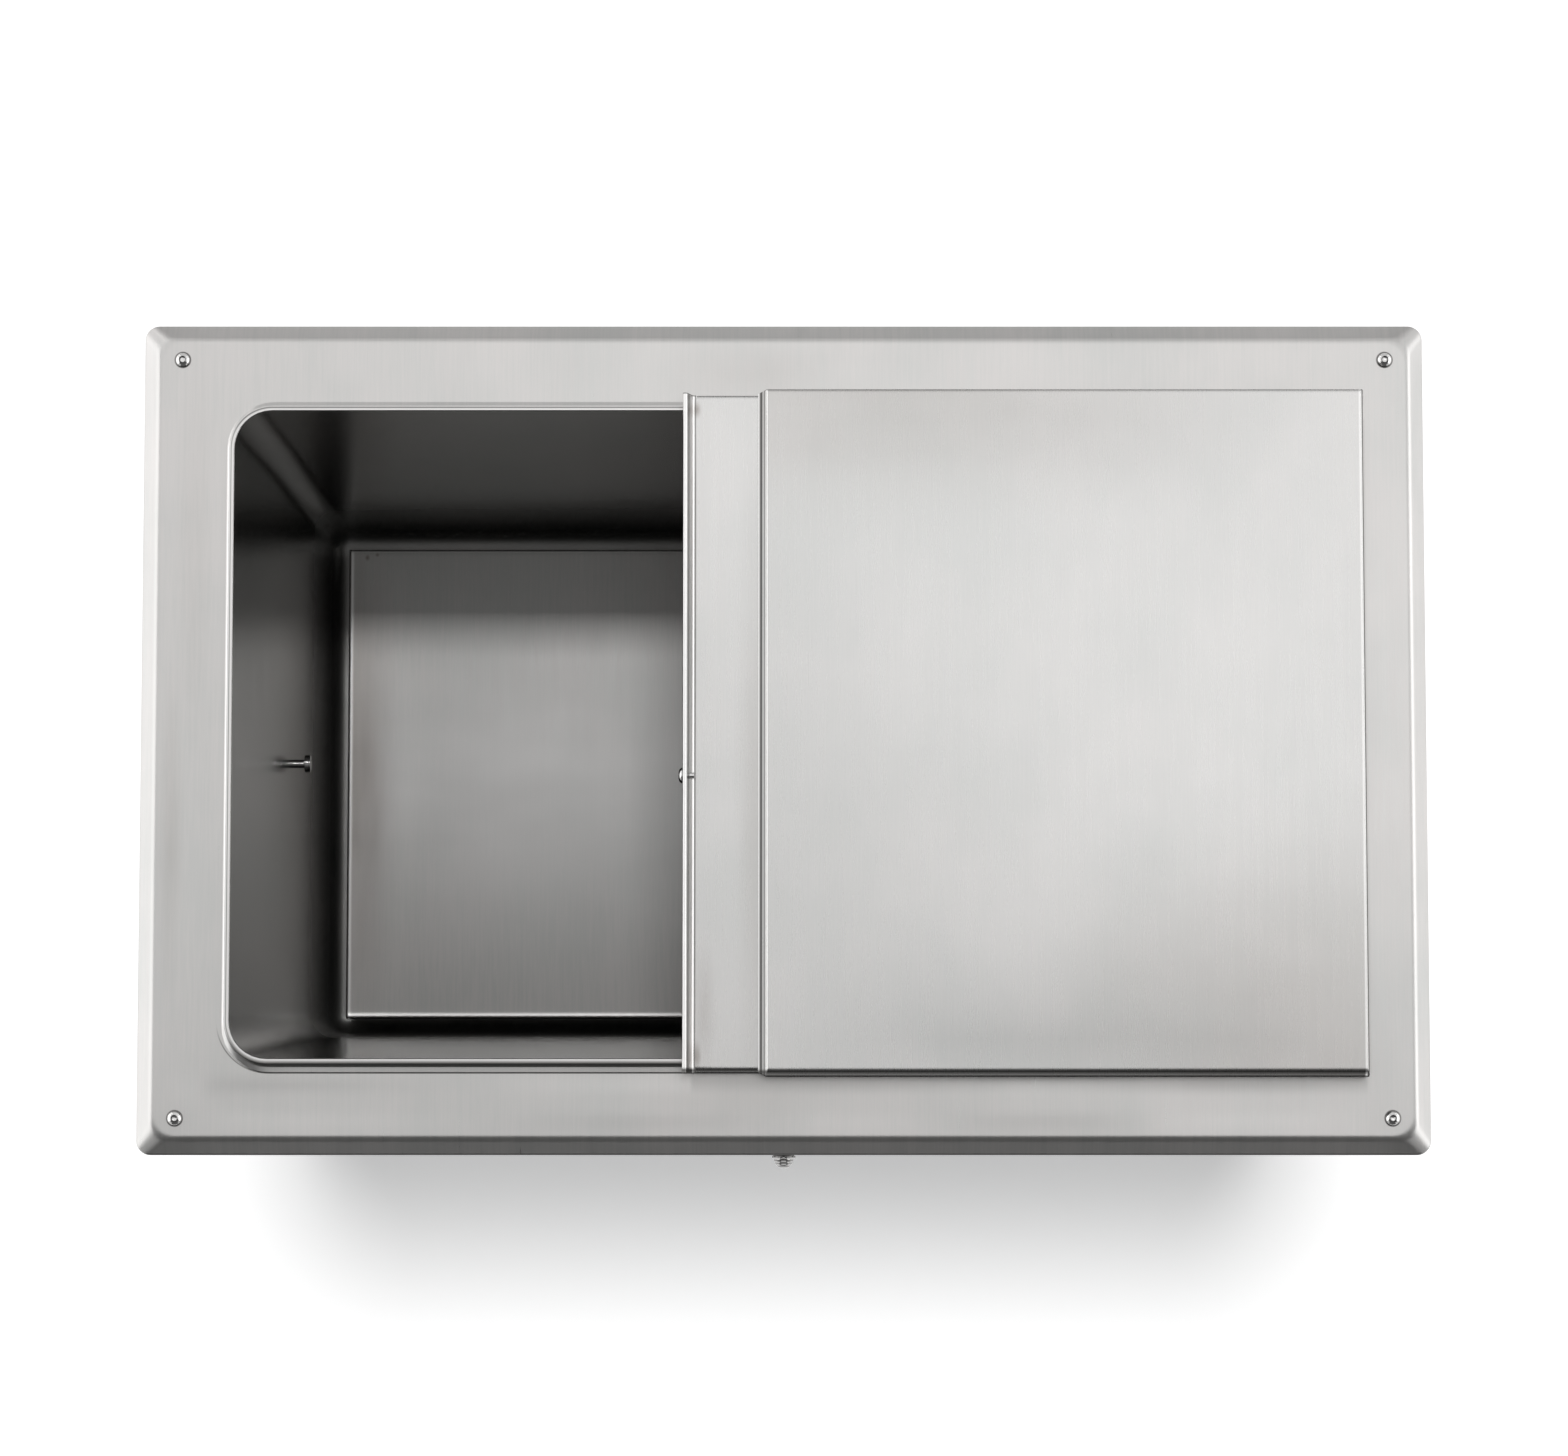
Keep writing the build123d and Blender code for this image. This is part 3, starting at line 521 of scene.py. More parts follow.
# plastics, foams and rubbers: a pair of tones, the cell of their grain, and how deep and rough it is
plainLooks = {
    "rigidFoam": {
        "tones": ((0.78, 0.72, 0.52, 1), (0.64, 0.57, 0.38, 1)), "cell": (0.0016, 0.0016, 0.0016),
        "depth": 0.0003, "roughness": 0.85,
    },
    "closedCellTape": {
        "tones": ((0.045, 0.045, 0.046, 1), (0.020, 0.020, 0.021, 1)), "cell": (0.0009, 0.0009, 0.0009),
        "depth": 0.0002, "roughness": 0.80,
    },
    "battenPlastic": {
        "tones": ((0.74, 0.74, 0.71, 1), (0.62, 0.62, 0.60, 1)), "cell": (0.0012, 0.0200, 0.0150),
        "depth": 0.00006, "roughness": 0.48,
    },
    "glidePlastic": {
        "tones": ((0.82, 0.82, 0.79, 1), (0.70, 0.70, 0.68, 1)), "cell": (0.0200, 0.0014, 0.0014),
        "depth": 0.00004, "roughness": 0.36,
    },
    "footPlastic": {
        "tones": ((0.050, 0.050, 0.053, 1), (0.028, 0.028, 0.030, 1)), "cell": (0.0014, 0.0014, 0.0014),
        "depth": 0.00005, "roughness": 0.42,
    },
}
plainShared = {
    "grainNoise": (4.0, 0.6),
    "wideCells": 14,
    "wideNoise": (2.0, 0.5, (1.3, 0.2, 4.1)),
    "spread": 0.14,
}


def plainFinish(name):
    look = plainLooks[name]
    finish = Finish(name)
    grain = finish.noise(look["cell"], *plainShared["grainNoise"])
    wide = finish.noise([size * plainShared["wideCells"] for size in look["cell"]], *plainShared["wideNoise"])
    tone = finish.mix(grain * 0.5 + wide * 0.5, *look["tones"])
    rough = look["roughness"] + (wide - 0.5) * plainShared["spread"]
    normal = finish.bump(grain, look["depth"])
    return finish.surface({"Base Color": tone, "Roughness": rough, "Normal": normal})


brassLook = {
    "clean": (0.80, 0.60, 0.30, 1),
    "tarnished": (0.42, 0.29, 0.14, 1),
    "tarnishCell": (0.009, 0.009, 0.009),
    "tarnishNoise": (4.0, 0.65),
    "tarnishStops": [(0.42, 0.0), (0.72, 1.0)],
    "tarnishShare": 0.7,
    "turningCell": (0.05, 0.05, 0.0004),
    "turningDepth": 0.00002,
    "roughness": 0.26,
    "rougher": 0.22,
}


def turnedBrass():
    look = brassLook
    finish = Finish("turnedBrass")
    turning = finish.noise(look["turningCell"])
    tarnish = finish.ramp(finish.noise(look["tarnishCell"], *look["tarnishNoise"]), look["tarnishStops"])
    tone = finish.mix(tarnish * look["tarnishShare"], look["clean"], look["tarnished"])
    rough = look["roughness"] + tarnish * look["rougher"]
    return finish.metal(tone, rough, finish.bump(turning, look["turningDepth"]))


finishes = {
    "deck": brushedSteel("deckSatin", marks["deck"], deckSheenAndShade),
    "liner": brushedSteel("linerSatin", marks["liner"], linerFrontShade),
    "plate": brushedSteel("plateSatin", marks["plate"], paintedLinesOf("plate")),
    "slidingCover": brushedSteel("coverSatin", marks["slidingCover"], paintedLinesOf("slidingCover")),
    "upperCover": brushedSteel("coverSatin", marks["upperCover"], paintedLinesOf("upperCover")),
    "polished": polishedSteel("polishedSteel"),
    "screw": polishedSteel("screwSteel", 1.0, screwHeadShading),
    "nut": polishedSteel("nutSteel", 0.62, paintedLinesOf("nut")),
    "galvanised": galvanisedSteel(),
    "foam": plainFinish("rigidFoam"),
    "tape": plainFinish("closedCellTape"),
    "batten": plainFinish("battenPlastic"),
    "glide": plainFinish("glidePlastic"),
    "foot": plainFinish("footPlastic"),
    "brass": turnedBrass(),
}

# what each node of the frame is made of, where its own mesh stays in view
nodeFinishes = {
    "deck_top": "deck", "well_liner": "liner", "false_bottom_plate": "plate", "false_bottom_rib": "plate",
    "sliding_cover_panel": "slidingCover", "fixed_cover_panel": "upperCover",
    "corner_screws": "screw", "front_cap_nut": "nut",
    "front_lip_stud": "polished", "front_lip_nut": "polished", "wall_pin": "polished",
    "finger_stud": "polished", "drain_strainer": "polished",
    "outer_casing": "galvanised", "casing_bottom": "galvanised", "casing_studs": "galvanised",
    "casing_nuts": "galvanised", "casing_rivets": "galvanised", "wall_pin_nut": "galvanised",
    "insulation_foam": "foam", "thermal_break": "tape", "edge_seal": "tape", "drain_gasket": "tape",
    "front_batten": "batten", "back_batten": "batten", "left_batten": "batten", "right_batten": "batten",
    "front_glide": "glide", "back_glide": "glide", "cover_locators": "glide",
    "false_bottom_feet": "foot", "drain_body": "brass", "drain_locknut": "brass",
}


def dress(piece, finishName):
    piece.data.materials.clear()
    piece.data.materials.append(finishes[finishName])


for nodeName, finishName in nodeFinishes.items():
    dress(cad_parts[nodeName], finishName)
print("finishes made:", len(finishes), "on", len(nodeFinishes), "nodes")


# shapes are drawn in mm and scaled to metres when their object is made
mergeReach = 0.004
sameHeight = 0.01
samePlace = 0.001
creaseAngle = 32
rimAngle = 55


def roundedPath(corners, steps=6, guard=0.7):  # points and headings along a path of (u, v, radius) corners
    path = []
    for index, (u, v, radius) in enumerate(corners):
        here = Vector((u, v))
        before = here - Vector(corners[index - 1][:2]) if index else None
        after = Vector(corners[index + 1][:2]) - here if index + 1 < len(corners) else None
        if before is None or after is None:
            heading = after or before
            path.append((u, v, math.atan2(heading.y, heading.x)))
            continue
        first = math.atan2(before.y, before.x)
        turn = (math.atan2(after.y, after.x) - first + math.pi) % (2 * math.pi) - math.pi
        side = 1 if turn > 0 else -1
        start = here - before.normalized() * radius * math.tan(abs(turn) / 2)
        centre = start + Vector((-math.sin(first), math.cos(first))) * radius * side
        lead = start - before.normalized() * guard
        path.append((lead.x, lead.y, first))
        for step in range(steps + 1):
            heading = first + turn * step / steps
            place = centre - Vector((-math.sin(heading), math.cos(heading))) * radius * side
            path.append((place.x, place.y, heading))
        trail = place + after.normalized() * guard
        path.append((trail.x, trail.y, heading))
    return path


def blend(first, second, share):
    return tuple(a + (b - a) * share for a, b in zip(first, second))


def between(first, second, count):
    return [blend(first, second, (step + 1) / (count + 1)) for step in range(count)]


def fade(value):
    share = max(0.0, min(1.0, value))
    return share * share * (3 - 2 * share)


def fadeFrom(value, span):  # 0 at the span's start, 1 after its length
    start, length = span
    return fade((value - start) / length)


def wander(x, y, z, cell, amount):  # smooth uneven offset, as hand-finished sheet has
    return amount * noise.noise(Vector((x / cell, y / cell, z / cell)))


# a section is (left, right, front, back, corner radius, height at the sides, at the front, at the back)
def ringPoints(section, arcSteps, sideSteps):
    left, right, front, back, radius, sideZ, frontZ, backZ = section
    corners = [
        (right - radius, back - radius, sideZ, backZ), (left + radius, back - radius, backZ, sideZ),
        (left + radius, front + radius, sideZ, frontZ), (right - radius, front + radius, frontZ, sideZ),
    ]
    arcs = []
    for quarter, (x, y, low, high) in enumerate(corners):
        arc = []
        for step in range(arcSteps + 1):
            angle = math.pi / 2 * (quarter + step / arcSteps)
            z = low + (high - low) * step / arcSteps
            arc.append((x + radius * math.cos(angle), y + radius * math.sin(angle), z))
        arcs.append(arc)
    points = []
    for quarter, arc in enumerate(arcs):
        points += arc + between(arc[-1], arcs[(quarter + 1) % 4][0], sideSteps - 1)
    return points


def loftRings(rings):  # closed round each ring, and from the last ring to the first
    working = bmesh.new()
    made = [[working.verts.new(point) for point in ring] for ring in rings]
    for index, low in enumerate(made):
        high = made[(index + 1) % len(made)]
        for at in range(len(low)):
            after = (at + 1) % len(low)
            working.faces.new((low[at], low[after], high[after], high[at]))
    return working


def turned(profile, steps=48):  # entries (radius, height) or (radius, height, distance across a hexagon)
    rings = []
    for radius, height, *across in profile:
        ring = []
        for step in range(steps):
            angle = 2 * math.pi * step / steps
            reach = radius
            if across:
                reach = min(radius, across[0] / 2 / math.cos((angle % (math.pi / 3)) - math.pi / 6))
            ring.append((reach * math.cos(angle), reach * math.sin(angle), height))
        rings.append(ring)
    return loftRings(rings)


def tidied(working):
    bmesh.ops.remove_doubles(working, verts=working.verts, dist=mergeReach)
    bmesh.ops.dissolve_degenerate(working, edges=working.edges, dist=mergeReach)
    bmesh.ops.recalc_face_normals(working, faces=working.faces)


def smoothed(data):
    data.shade_smooth()
    data.set_sharp_from_angle(angle=math.radians(creaseAngle))


def finishPiece(name, working, finishName):
    data = bpy.data.meshes.new(name)
    working.to_mesh(data)
    working.free()
    smoothed(data)
    piece = added(name, data)
    dress(piece, finishName)
    return piece


def makePiece(name, working, finishName, turn=None):
    tidied(working)
    bmesh.ops.scale(working, vec=(mm, mm, mm), verts=working.verts)
    if turn is not None:
        bmesh.ops.transform(working, matrix=turn, verts=working.verts)
    return finishPiece(name, working, finishName)


def bake(piece):  # the evaluated mesh takes the place of the modifiers
    scene.view_layers[0].update()
    drawn = piece.evaluated_get(bpy.context.evaluated_depsgraph_get())
    data = bpy.data.meshes.new_from_object(drawn)
    piece.modifiers.clear()
    piece.data = data
    working = bmesh.new()
    working.from_mesh(data)
    bmesh.ops.recalc_face_normals(working, faces=working.faces)
    working.to_mesh(data)
    working.free()
    smoothed(data)


def thicken(piece, sheet, rim):
    solid = piece.modifiers.new("sheet", "SOLIDIFY")
    solid.thickness = sheet * mm
    solid.offset = -1
    solid.use_even_offset = True
    rounding = piece.modifiers.new("rim", "BEVEL")
    rounding.width = rim * mm
    rounding.segments = 2
    rounding.limit_method = "ANGLE"
    rounding.angle_limit = math.radians(rimAngle)
    bake(piece)


def place(piece, body, *nodes):
    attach(piece, body)
    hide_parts(*nodes)


# deck: lip, bevel, slightly uneven top and the collar's outer wall, with the height of each side's foot
deckShape = {
    "outline": (-406.5, 406.5, -263.0, 263.0),
    "profile": [(0, 0.85, 0), (0, 22.0, 1.2), (10.0, 30.0, 7.0), (20.0, 30.0, 0)],
    "collar": {
        "side": [(-10.8, 30.0, 0), (-5.8, 30.0, 0.6), (-4.6, 30.5, 0.6), (-3.9, 31.6, 0.8)],
        "front": [(-14.0, 30.0, 0), (-9.0, 30.0, 0.3), (-8.5, 30.6, 0.3), (-4.8, 30.8, 0.6)],
        "back": [(-12.3, 30.0, 0), (-7.3, 30.0, 0.6), (-6.4, 30.4, 0.6), (-4.4, 31.4, 0.8)],
    },
    "collarWall": [(-3.3, 38.0, 1.0), (-3.3, 40.8, 0)],
    "collarTop": 41.0,
    "collarInside": -0.3,
    "collarEdge": 0.6,
    "collarUnderTop": 40.3,
    "cornerRadius": 9.0,
    "cornerGrowth": 0.35,
    "sheet": 1.5,
    "rim": 0.2,
    "flatRings": 7,
    "arcSteps": 8,
    "sideSteps": 30,
    "buckle": 0.40,
    "buckleCell": 150.0,
    "buckleFades": {"edge": (13, 14), "collar": (10, 12), "screw": (8, 22)},
}


def outerSection(u, z, thin=0.0):
    radius = deckShape["cornerRadius"] + deckShape["cornerGrowth"] * u
    return (*shrunk(deckShape["outline"], u + thin, u + thin, u + thin), radius - thin, z, z, z)


def collarSection(side, front, back):
    box = shrunk(opening, side[0], front[0], back[0])
    return (*box, openingRadius - side[0], side[1], front[1], back[1])


def underneath(point, sheet):
    u, v, heading = point
    return (u + sheet * math.sin(heading), v - sheet * math.cos(heading), heading)


def deckRings():
    shape = deckShape
    sheet, rim, top = shape["sheet"], shape["rim"], shape["collarTop"]
    lip = roundedPath(shape["profile"], 8)
    over = [outerSection(u, z) for u, z, heading in lip]
    under = []
    for u, z, heading in lip:
        under.append(outerSection(u, z - sheet * math.cos(heading), sheet * math.sin(heading)))
    paths = [roundedPath(corners + shape["collarWall"], 4, 0.1) for corners in shape["collar"].values()]
    collarOver = [collarSection(*points) for points in zip(*paths)]
    collarUnder = []
    for points in zip(*paths):
        below = [underneath(point, sheet) for point in points]
        collarUnder.append(collarSection(*((u, min(z, shape["collarUnderTop"])) for u, z, heading in below)))
    over += between(over[-1], collarOver[0], shape["flatRings"]) + collarOver
    under += between(under[-1], collarUnder[0], shape["flatRings"]) + collarUnder
    wall, inside, low = shape["collarWall"][0][0], shape["collarInside"], top - shape["collarEdge"]
    edge = [(wall + rim, top), (inside - rim, top), (inside, top - rim), (inside, low), (wall + sheet, low)]
    over += [collarSection(point, point, point) for point in edge]  # the collar's top laps the liner's edge
    bottom = shape["profile"][0][1] - rim
    close = [outerSection(0.0, bottom, sheet - rim), outerSection(0.0, bottom, rim)]
    steps = (shape["arcSteps"], shape["sideSteps"])
    return [ringPoints(section, *steps) for section in over + under[::-1] + close]


def buckled(x, y):  # the flat between the lip and the collar isn't quite even
    shape = deckShape
    left, right, front, back = opening
    across, along = screwPlaces
    away = {  # how far a place is from each
        "edge": min(shape["outline"][1] - abs(x), shape["outline"][3] - abs(y)),
        "collar": max(abs(x) - right, abs(y - openingMiddle) - (back - front) / 2),
        "screw": math.hypot(abs(x) - across, abs(y) - along),
    }
    share = 1.0
    for name, span in shape["buckleFades"].items():
        share *= fadeFrom(away[name], span)
    return share * wander(x, y, 3.0, shape["buckleCell"], shape["buckle"])


def makeDeck():
    rings = [[(x, y, z + buckled(x, y)) for x, y, z in ring] for ring in deckRings()]
    place(makePiece("deckSheet", loftRings(rings), "deck"), "root", "deck_top")


makeDeck()


# well: vertical hem, tapered walls, cove and a floor that falls to the drain
wellShape = {
    "radiusLoss": 10.0,
    "taper": 25.5,
    "hem": 38.0,
    "top": 40.3,
    "bottom": -360.0,
    "cove": 12.0,
    "coveReach": 14.0,
    "wallRings": 15,
    "arcSteps": 12,
    "sideSteps": 26,
    "fall": 5.0,
    "drainSquare": 40.0,
    "drainHole": 16.85,
    "sheet": 1.4,
    "rim": 0.2,
    "bulge": 0.9,
    "bulgeCell": 170.0,
    "bulgeFades": ((26, -40), (-352, 30)),
}


def wellSection(u, z):
    shape = wellShape
    share = max(0.0, min(1.0, (shape["hem"] - z) / (shape["hem"] - shape["bottom"])))
    radius = max(2.0, openingRadius - shape["radiusLoss"] * share - (u - shape["taper"] * share))
    return (*shrunk(opening, u, u, u), radius, z, z, z)


def floorSection(half, radius, z):
    return (-half, half, openingMiddle - half, openingMiddle + half, radius, z, z, z)


def bulged(x, y, z):  # the walls wander a little, but not the hem and the floor
    cell, amount = wellShape["bulgeCell"], wellShape["bulge"]
    for span in wellShape["bulgeFades"]:
        amount *= fadeFrom(z, span)
    return (x + wander(x, y, z, cell, amount), y + wander(y, z, x, cell, amount), z)


def makeWell():
    shape = wellShape
    sheet = shape["sheet"]
    corners = [(0, shape["top"] - shape["rim"], 0), (0, shape["hem"], 2.0),
               (shape["taper"], shape["bottom"], shape["cove"]),
               (shape["taper"] + shape["coveReach"], shape["bottom"], 0)]
    path = roundedPath(corners, 9, 0.6)
    wall = next(index for index, point in enumerate(path) if point[1] < shape["hem"] - 4)
    path[wall:wall] = between(path[wall - 1], path[wall], shape["wallRings"])
    inside = [wellSection(u, z) for u, z, heading in path]
    outside = []
    for point in path:
        u, z, heading = underneath(point, sheet)
        outside.append(wellSection(u, z))
    low = shape["bottom"] - shape["fall"]
    for side, drop in ((inside, 0), (outside, sheet)):
        side.append(floorSection(shape["drainSquare"], 2.0, low - drop))
        side.append(floorSection(shape["drainHole"], shape["drainHole"], low - drop))
    rim = [wellSection(-sheet + shape["rim"], shape["top"]), wellSection(-shape["rim"], shape["top"])]
    rings = []
    for section in inside + outside[::-1] + rim:
        rings.append([bulged(*point) for point in ringPoints(section, shape["arcSteps"], shape["sideSteps"])])
    place(makePiece("wellSheet", loftRings(rings), "liner"), "root", "well_liner")


makeWell()
print("deck and well made")


# folded sheets: stations (place, height, kind) across and along; a station's kind is flat, bend, fall or up
def foldedSheet(across, along, keep, move):
    working = bmesh.new()
    grid = {}
    for i, (x, zx, kindX) in enumerate(across):
        for j, (y, zy, kindY) in enumerate(along):
            z = zx if kindX == "up" else min(zx, zy)
            grid[i, j] = working.verts.new(move(x, y, z))
    for i in range(len(across) - 1):
        for j in range(len(along) - 1):
            if keep(i, j):
                foldedCell(working, grid, across, along, i, j)
    bmesh.ops.delete(working, geom=[vert for vert in working.verts if not vert.link_faces], context="VERTS")
    tidied(working)
    widest = max(working.faces, key=lambda face: face.calc_area())
    if widest.normal.z < 0:
        bmesh.ops.reverse_faces(working, faces=working.faces)
    bmesh.ops.scale(working, vec=(mm, mm, mm), verts=working.verts)
    return working


def level(first, second):  # two stations that stand at one height
    return abs(first[1] - second[1]) < sameHeight


def foldedCell(working, grid, across, along, i, j):  # a corner cell is cut along the mitre
    a, b, c, d = grid[i, j], grid[i + 1, j], grid[i + 1, j + 1], grid[i, j + 1]
    x1, x2, y1, y2 = across[i], across[i + 1], along[j], along[j + 1]
    bent = all(station[2] != "flat" for station in (x1, x2, y1, y2))
    if bent and level(x1, y1) and level(x2, y2):
        cells = ((a, b, c), (a, c, d))
    elif bent and level(x2, y1) and level(x1, y2):
        cells = ((a, b, d), (b, c, d))
    else:
        cells = ((a, b, c, d),)
    for cell in cells:
        working.faces.new(cell)


def fallStations(edge, outward, top, levels, radius):  # from the foot of a fall up to its flat
    stations = []
    for z in levels[::-1]:
        drop = min(radius, top - z)
        reach = radius - math.sqrt(max(0.0, radius * radius - (radius - drop) ** 2))
        kind = "bend" if top - z < radius + samePlace else "fall"
        stations.append((edge - outward * reach, z, kind))
    return stations


def flatStations(low, high, top, count, guard=0.8):
    inner = [low + guard + (high - low - 2 * guard) * step / count for step in range(count + 1)]
    return [(place, top, "flat") for place in inner]


def bendLevels(top, radius, steps, falls):
    levels = [top - radius * (1 - math.cos(math.pi / 2 * step / steps)) for step in range(steps + 1)]
    return levels + falls


def placeSheet(name, working, finishName, shape, body, nodeName):
    piece = finishPiece(name, working, finishName)
    thicken(piece, shape["sheet"], shape["rim"])
    place(piece, body, nodeName)


def cellRule(across, along, slit=0.0):  # which cells are sheet, and which are open: corners, and their slits
    def keep(i, j):
        pairX = (across[i], across[i + 1])
        pairY = (along[j], along[j + 1])
        kindsX = {station[2] for station in pairX}
        bentX = "flat" not in kindsX
        bentY = "flat" not in (pairY[0][2], pairY[1][2])
        uprightX = abs(pairX[0][0] - pairX[1][0]) < samePlace
        uprightY = abs(pairY[0][0] - pairY[1][0]) < samePlace
        if uprightY and (uprightX or kindsX & {"up", "stop", "step"}):
            return False
        if bentY and ("stop" in kindsX or ("up" in kindsX and len(kindsX) > 1)):
            return False
        if slit and bentX and bentY:
            levels = [sorted(station[1] for station in pair) for pair in (pairX, pairY)]
            same = abs(levels[0][0] - levels[1][0]) < sameHeight
            return not (same or uprightX and levels[1][0] < levels[0][1] + slit)
        return True
    return keep


# false bottom: a tray turned over, with its corners slit
plateShape = {
    "edges": (-307.92, 307.92, -168.00, 163.90),
    "top": -330.0,
    "foot": -350.0,
    "bend": 1.8,
    "edgeTurn": {"left": 0.17, "front": 0.26, "back": -0.12, "width": 2.2},
    "skirtDrops": (9.0, 14.0),
    "slit": 0.9,
    "sheet": 1.5,
    "rim": 0.3,
    "sag": 0.5,
    "sagCell": 130.0,
    "sagFade": (8, 20),
}


def edgeStations(low, top, wide):  # the narrow flat along an edge that turns up or down a little
    return flatStations(low, low + wide + 1, top, 3, 0.3)


def makePlate():
    shape = plateShape
    left, right, front, back = shape["edges"]
    top, bend = shape["top"], shape["bend"]
    levels = bendLevels(top, bend, 7, [top - drop for drop in shape["skirtDrops"]] + [shape["foot"]])
    turn = shape["edgeTurn"]
    wide = turn["width"]
    across = fallStations(left, -1, top, levels, bend) + edgeStations(left + bend, top, wide)
    across += flatStations(left + bend + wide + 2, right - bend, top, 22)
    across += fallStations(right, 1, top, levels, bend)[::-1]
    along = fallStations(front, -1, top, levels, bend) + edgeStations(front + bend, top, wide)
    along += flatStations(front + bend + wide + 2, back - bend - wide - 2, top, 12)
    along += edgeStations(back - bend - wide - 1, top, wide) + fallStations(back, 1, top, levels, bend)[::-1]

    def move(x, y, z):  # the edges turn up a little at the left and in front, and down behind
        nearness = {"left": left + bend - x, "front": front + bend - y, "back": y - back + bend}
        for side, past in nearness.items():
            z += turn[side] * max(0.0, min(1.0, past / wide + 1))
        share = fadeFrom(min(x - left, y - front, back - y), shape["sagFade"])
        return (x, y, z + wander(x, y, 0.0, shape["sagCell"], shape["sag"] * share))

    working = foldedSheet(across, along, cellRule(across, along, shape["slit"]), move)
    placeSheet("falseBottomSheet", working, "plate", shape, "false_bottom", "false_bottom_plate")


makePlate()


# lower cover: skirts in front and behind, a leaning pull lip with a rolled bead, a stop flange at the right
slidingShape = {
    "front": -211.75,
    "back": 215.1,
    "top": 43.3,
    "foot": 33.0,
    "bends": {"front": 3.4, "back": 1.8},
    "lipFoot": (-57.2, 2.4),
    "beadCentre": (-61.85, 53.8),
    "beadRadius": 1.5,
    "beadTurn": 225,
    "beadSteps": 15,
    "lipRun": 9.0,
    "skirtDrop": 7.5,
    "right": 282.7,
    "stopHeight": 4.0,
    "stopBend": 1.2,
    "sheet": 1.2,
    "rim": 0.25,
    "crown": 0.35,
    "crownMargin": 4.0,
    "waver": 0.20,
    "waverCell": 110.0,
}


def foldedEnds(shape, falls, count):  # stations from the front skirt's foot to the back skirt's
    top, bends = shape["top"], shape["bends"]
    levels = {side: bendLevels(top, bend, 8, falls) for side, bend in bends.items()}
    along = fallStations(shape["front"], -1, top, levels["front"], bends["front"])
    along += flatStations(shape["front"] + bends["front"], shape["back"] - bends["back"], top, count)
    return along + fallStations(shape["back"], 1, top, levels["back"], bends["back"])[::-1]


def slidingStations():
    shape = slidingShape
    top = shape["top"]
    x, z = shape["beadCentre"]
    radius = shape["beadRadius"]
    run = shape["lipRun"]
    stations = []
    for step in range(shape["beadSteps"] + 1):
        angle = math.radians(shape["beadTurn"] * (1 - step / shape["beadSteps"]))
        stations.append((x + radius * math.cos(angle), z + radius * math.sin(angle), "up"))
    footX, footRadius = shape["lipFoot"]
    lip = roundedPath([(x + radius, z, 0), (footX, top, footRadius), (footX + run, top, 0)], 7, 0.6)
    stations += [(u, v, "up") for u, v, heading in lip[1:-2]]
    stop = shape["right"] - shape["sheet"]
    stations += flatStations(lip[-2][0] - 0.7, stop - 2.5, top, 24)
    corners = [(stop - run, top, 0), (stop, top, shape["stopBend"]), (stop, top + shape["stopHeight"], 0)]
    return stations + [(u, v, "stop") for u, v, heading in roundedPath(corners, 5, 0.4)[2:]]


def makeSlidingCover():
    shape = slidingShape
    top = shape["top"]
    across = slidingStations()
    along = foldedEnds(shape, [top - shape["skirtDrop"], shape["foot"]], 20)
    half = (shape["back"] - shape["front"]) / 2 - shape["crownMargin"]

    def move(x, y, z):
        if abs(z - top) < samePlace:
            share = max(0.0, 1 - ((y - openingMiddle) / half) ** 2)
            z += share * (shape["crown"] + wander(x, y, 9.0, shape["waverCell"], shape["waver"]))
        return (x, y, z)

    working = foldedSheet(across, along, cellRule(across, along), move)
    placeSheet("slidingSheet", working, "slidingCover", shape, "sliding_cover", "sliding_cover_panel")


makeSlidingCover()


# upper cover: a stepped left edge over the lower cover, three skirts, and a tab at the right skirt's back
upperShape = {
    "left": -11.0,
    "right": 365.1,
    "front": -214.25,
    "back": 218.3,
    "top": 49.8,
    "falls": [38.0, 35.0, 33.55, 32.7, 31.9, 31.2, 30.6],
    "foot": 30.05,
    "bends": {"front": 5.2, "back": 1.8},
    "rightBend": 1.8,
    "stepReach": 5.0,
    "stepHeight": 46.0,
    "stepBends": (0.5, 1.4),
    "stepTrim": 2.6,
    "nearLeft": (1.9, 2.6, 3.4, 4.2, 5.0),
    "nearRight": (14.0, 10.5, 7.0, 4.5, 3.1),
    "middle": (6.0, 16.5),
    "sheet": 1.2,
    "rim": 0.25,
    "crown": 2.0,
    "crownMargin": 7.0,
    "waver": 0.35,
    "waverCell": 120.0,
    "footTop": 38.5,
    "footRadius": 5.0,
    "footCut": (14.0, 3.5),
    "flare": (196.75, 212.40, 1.6),
    "flareFade": (48.0, -3.0),
    "tab": (212.5, 214.6, 3.2),
    "tabFade": (38.0, 3.0),
}


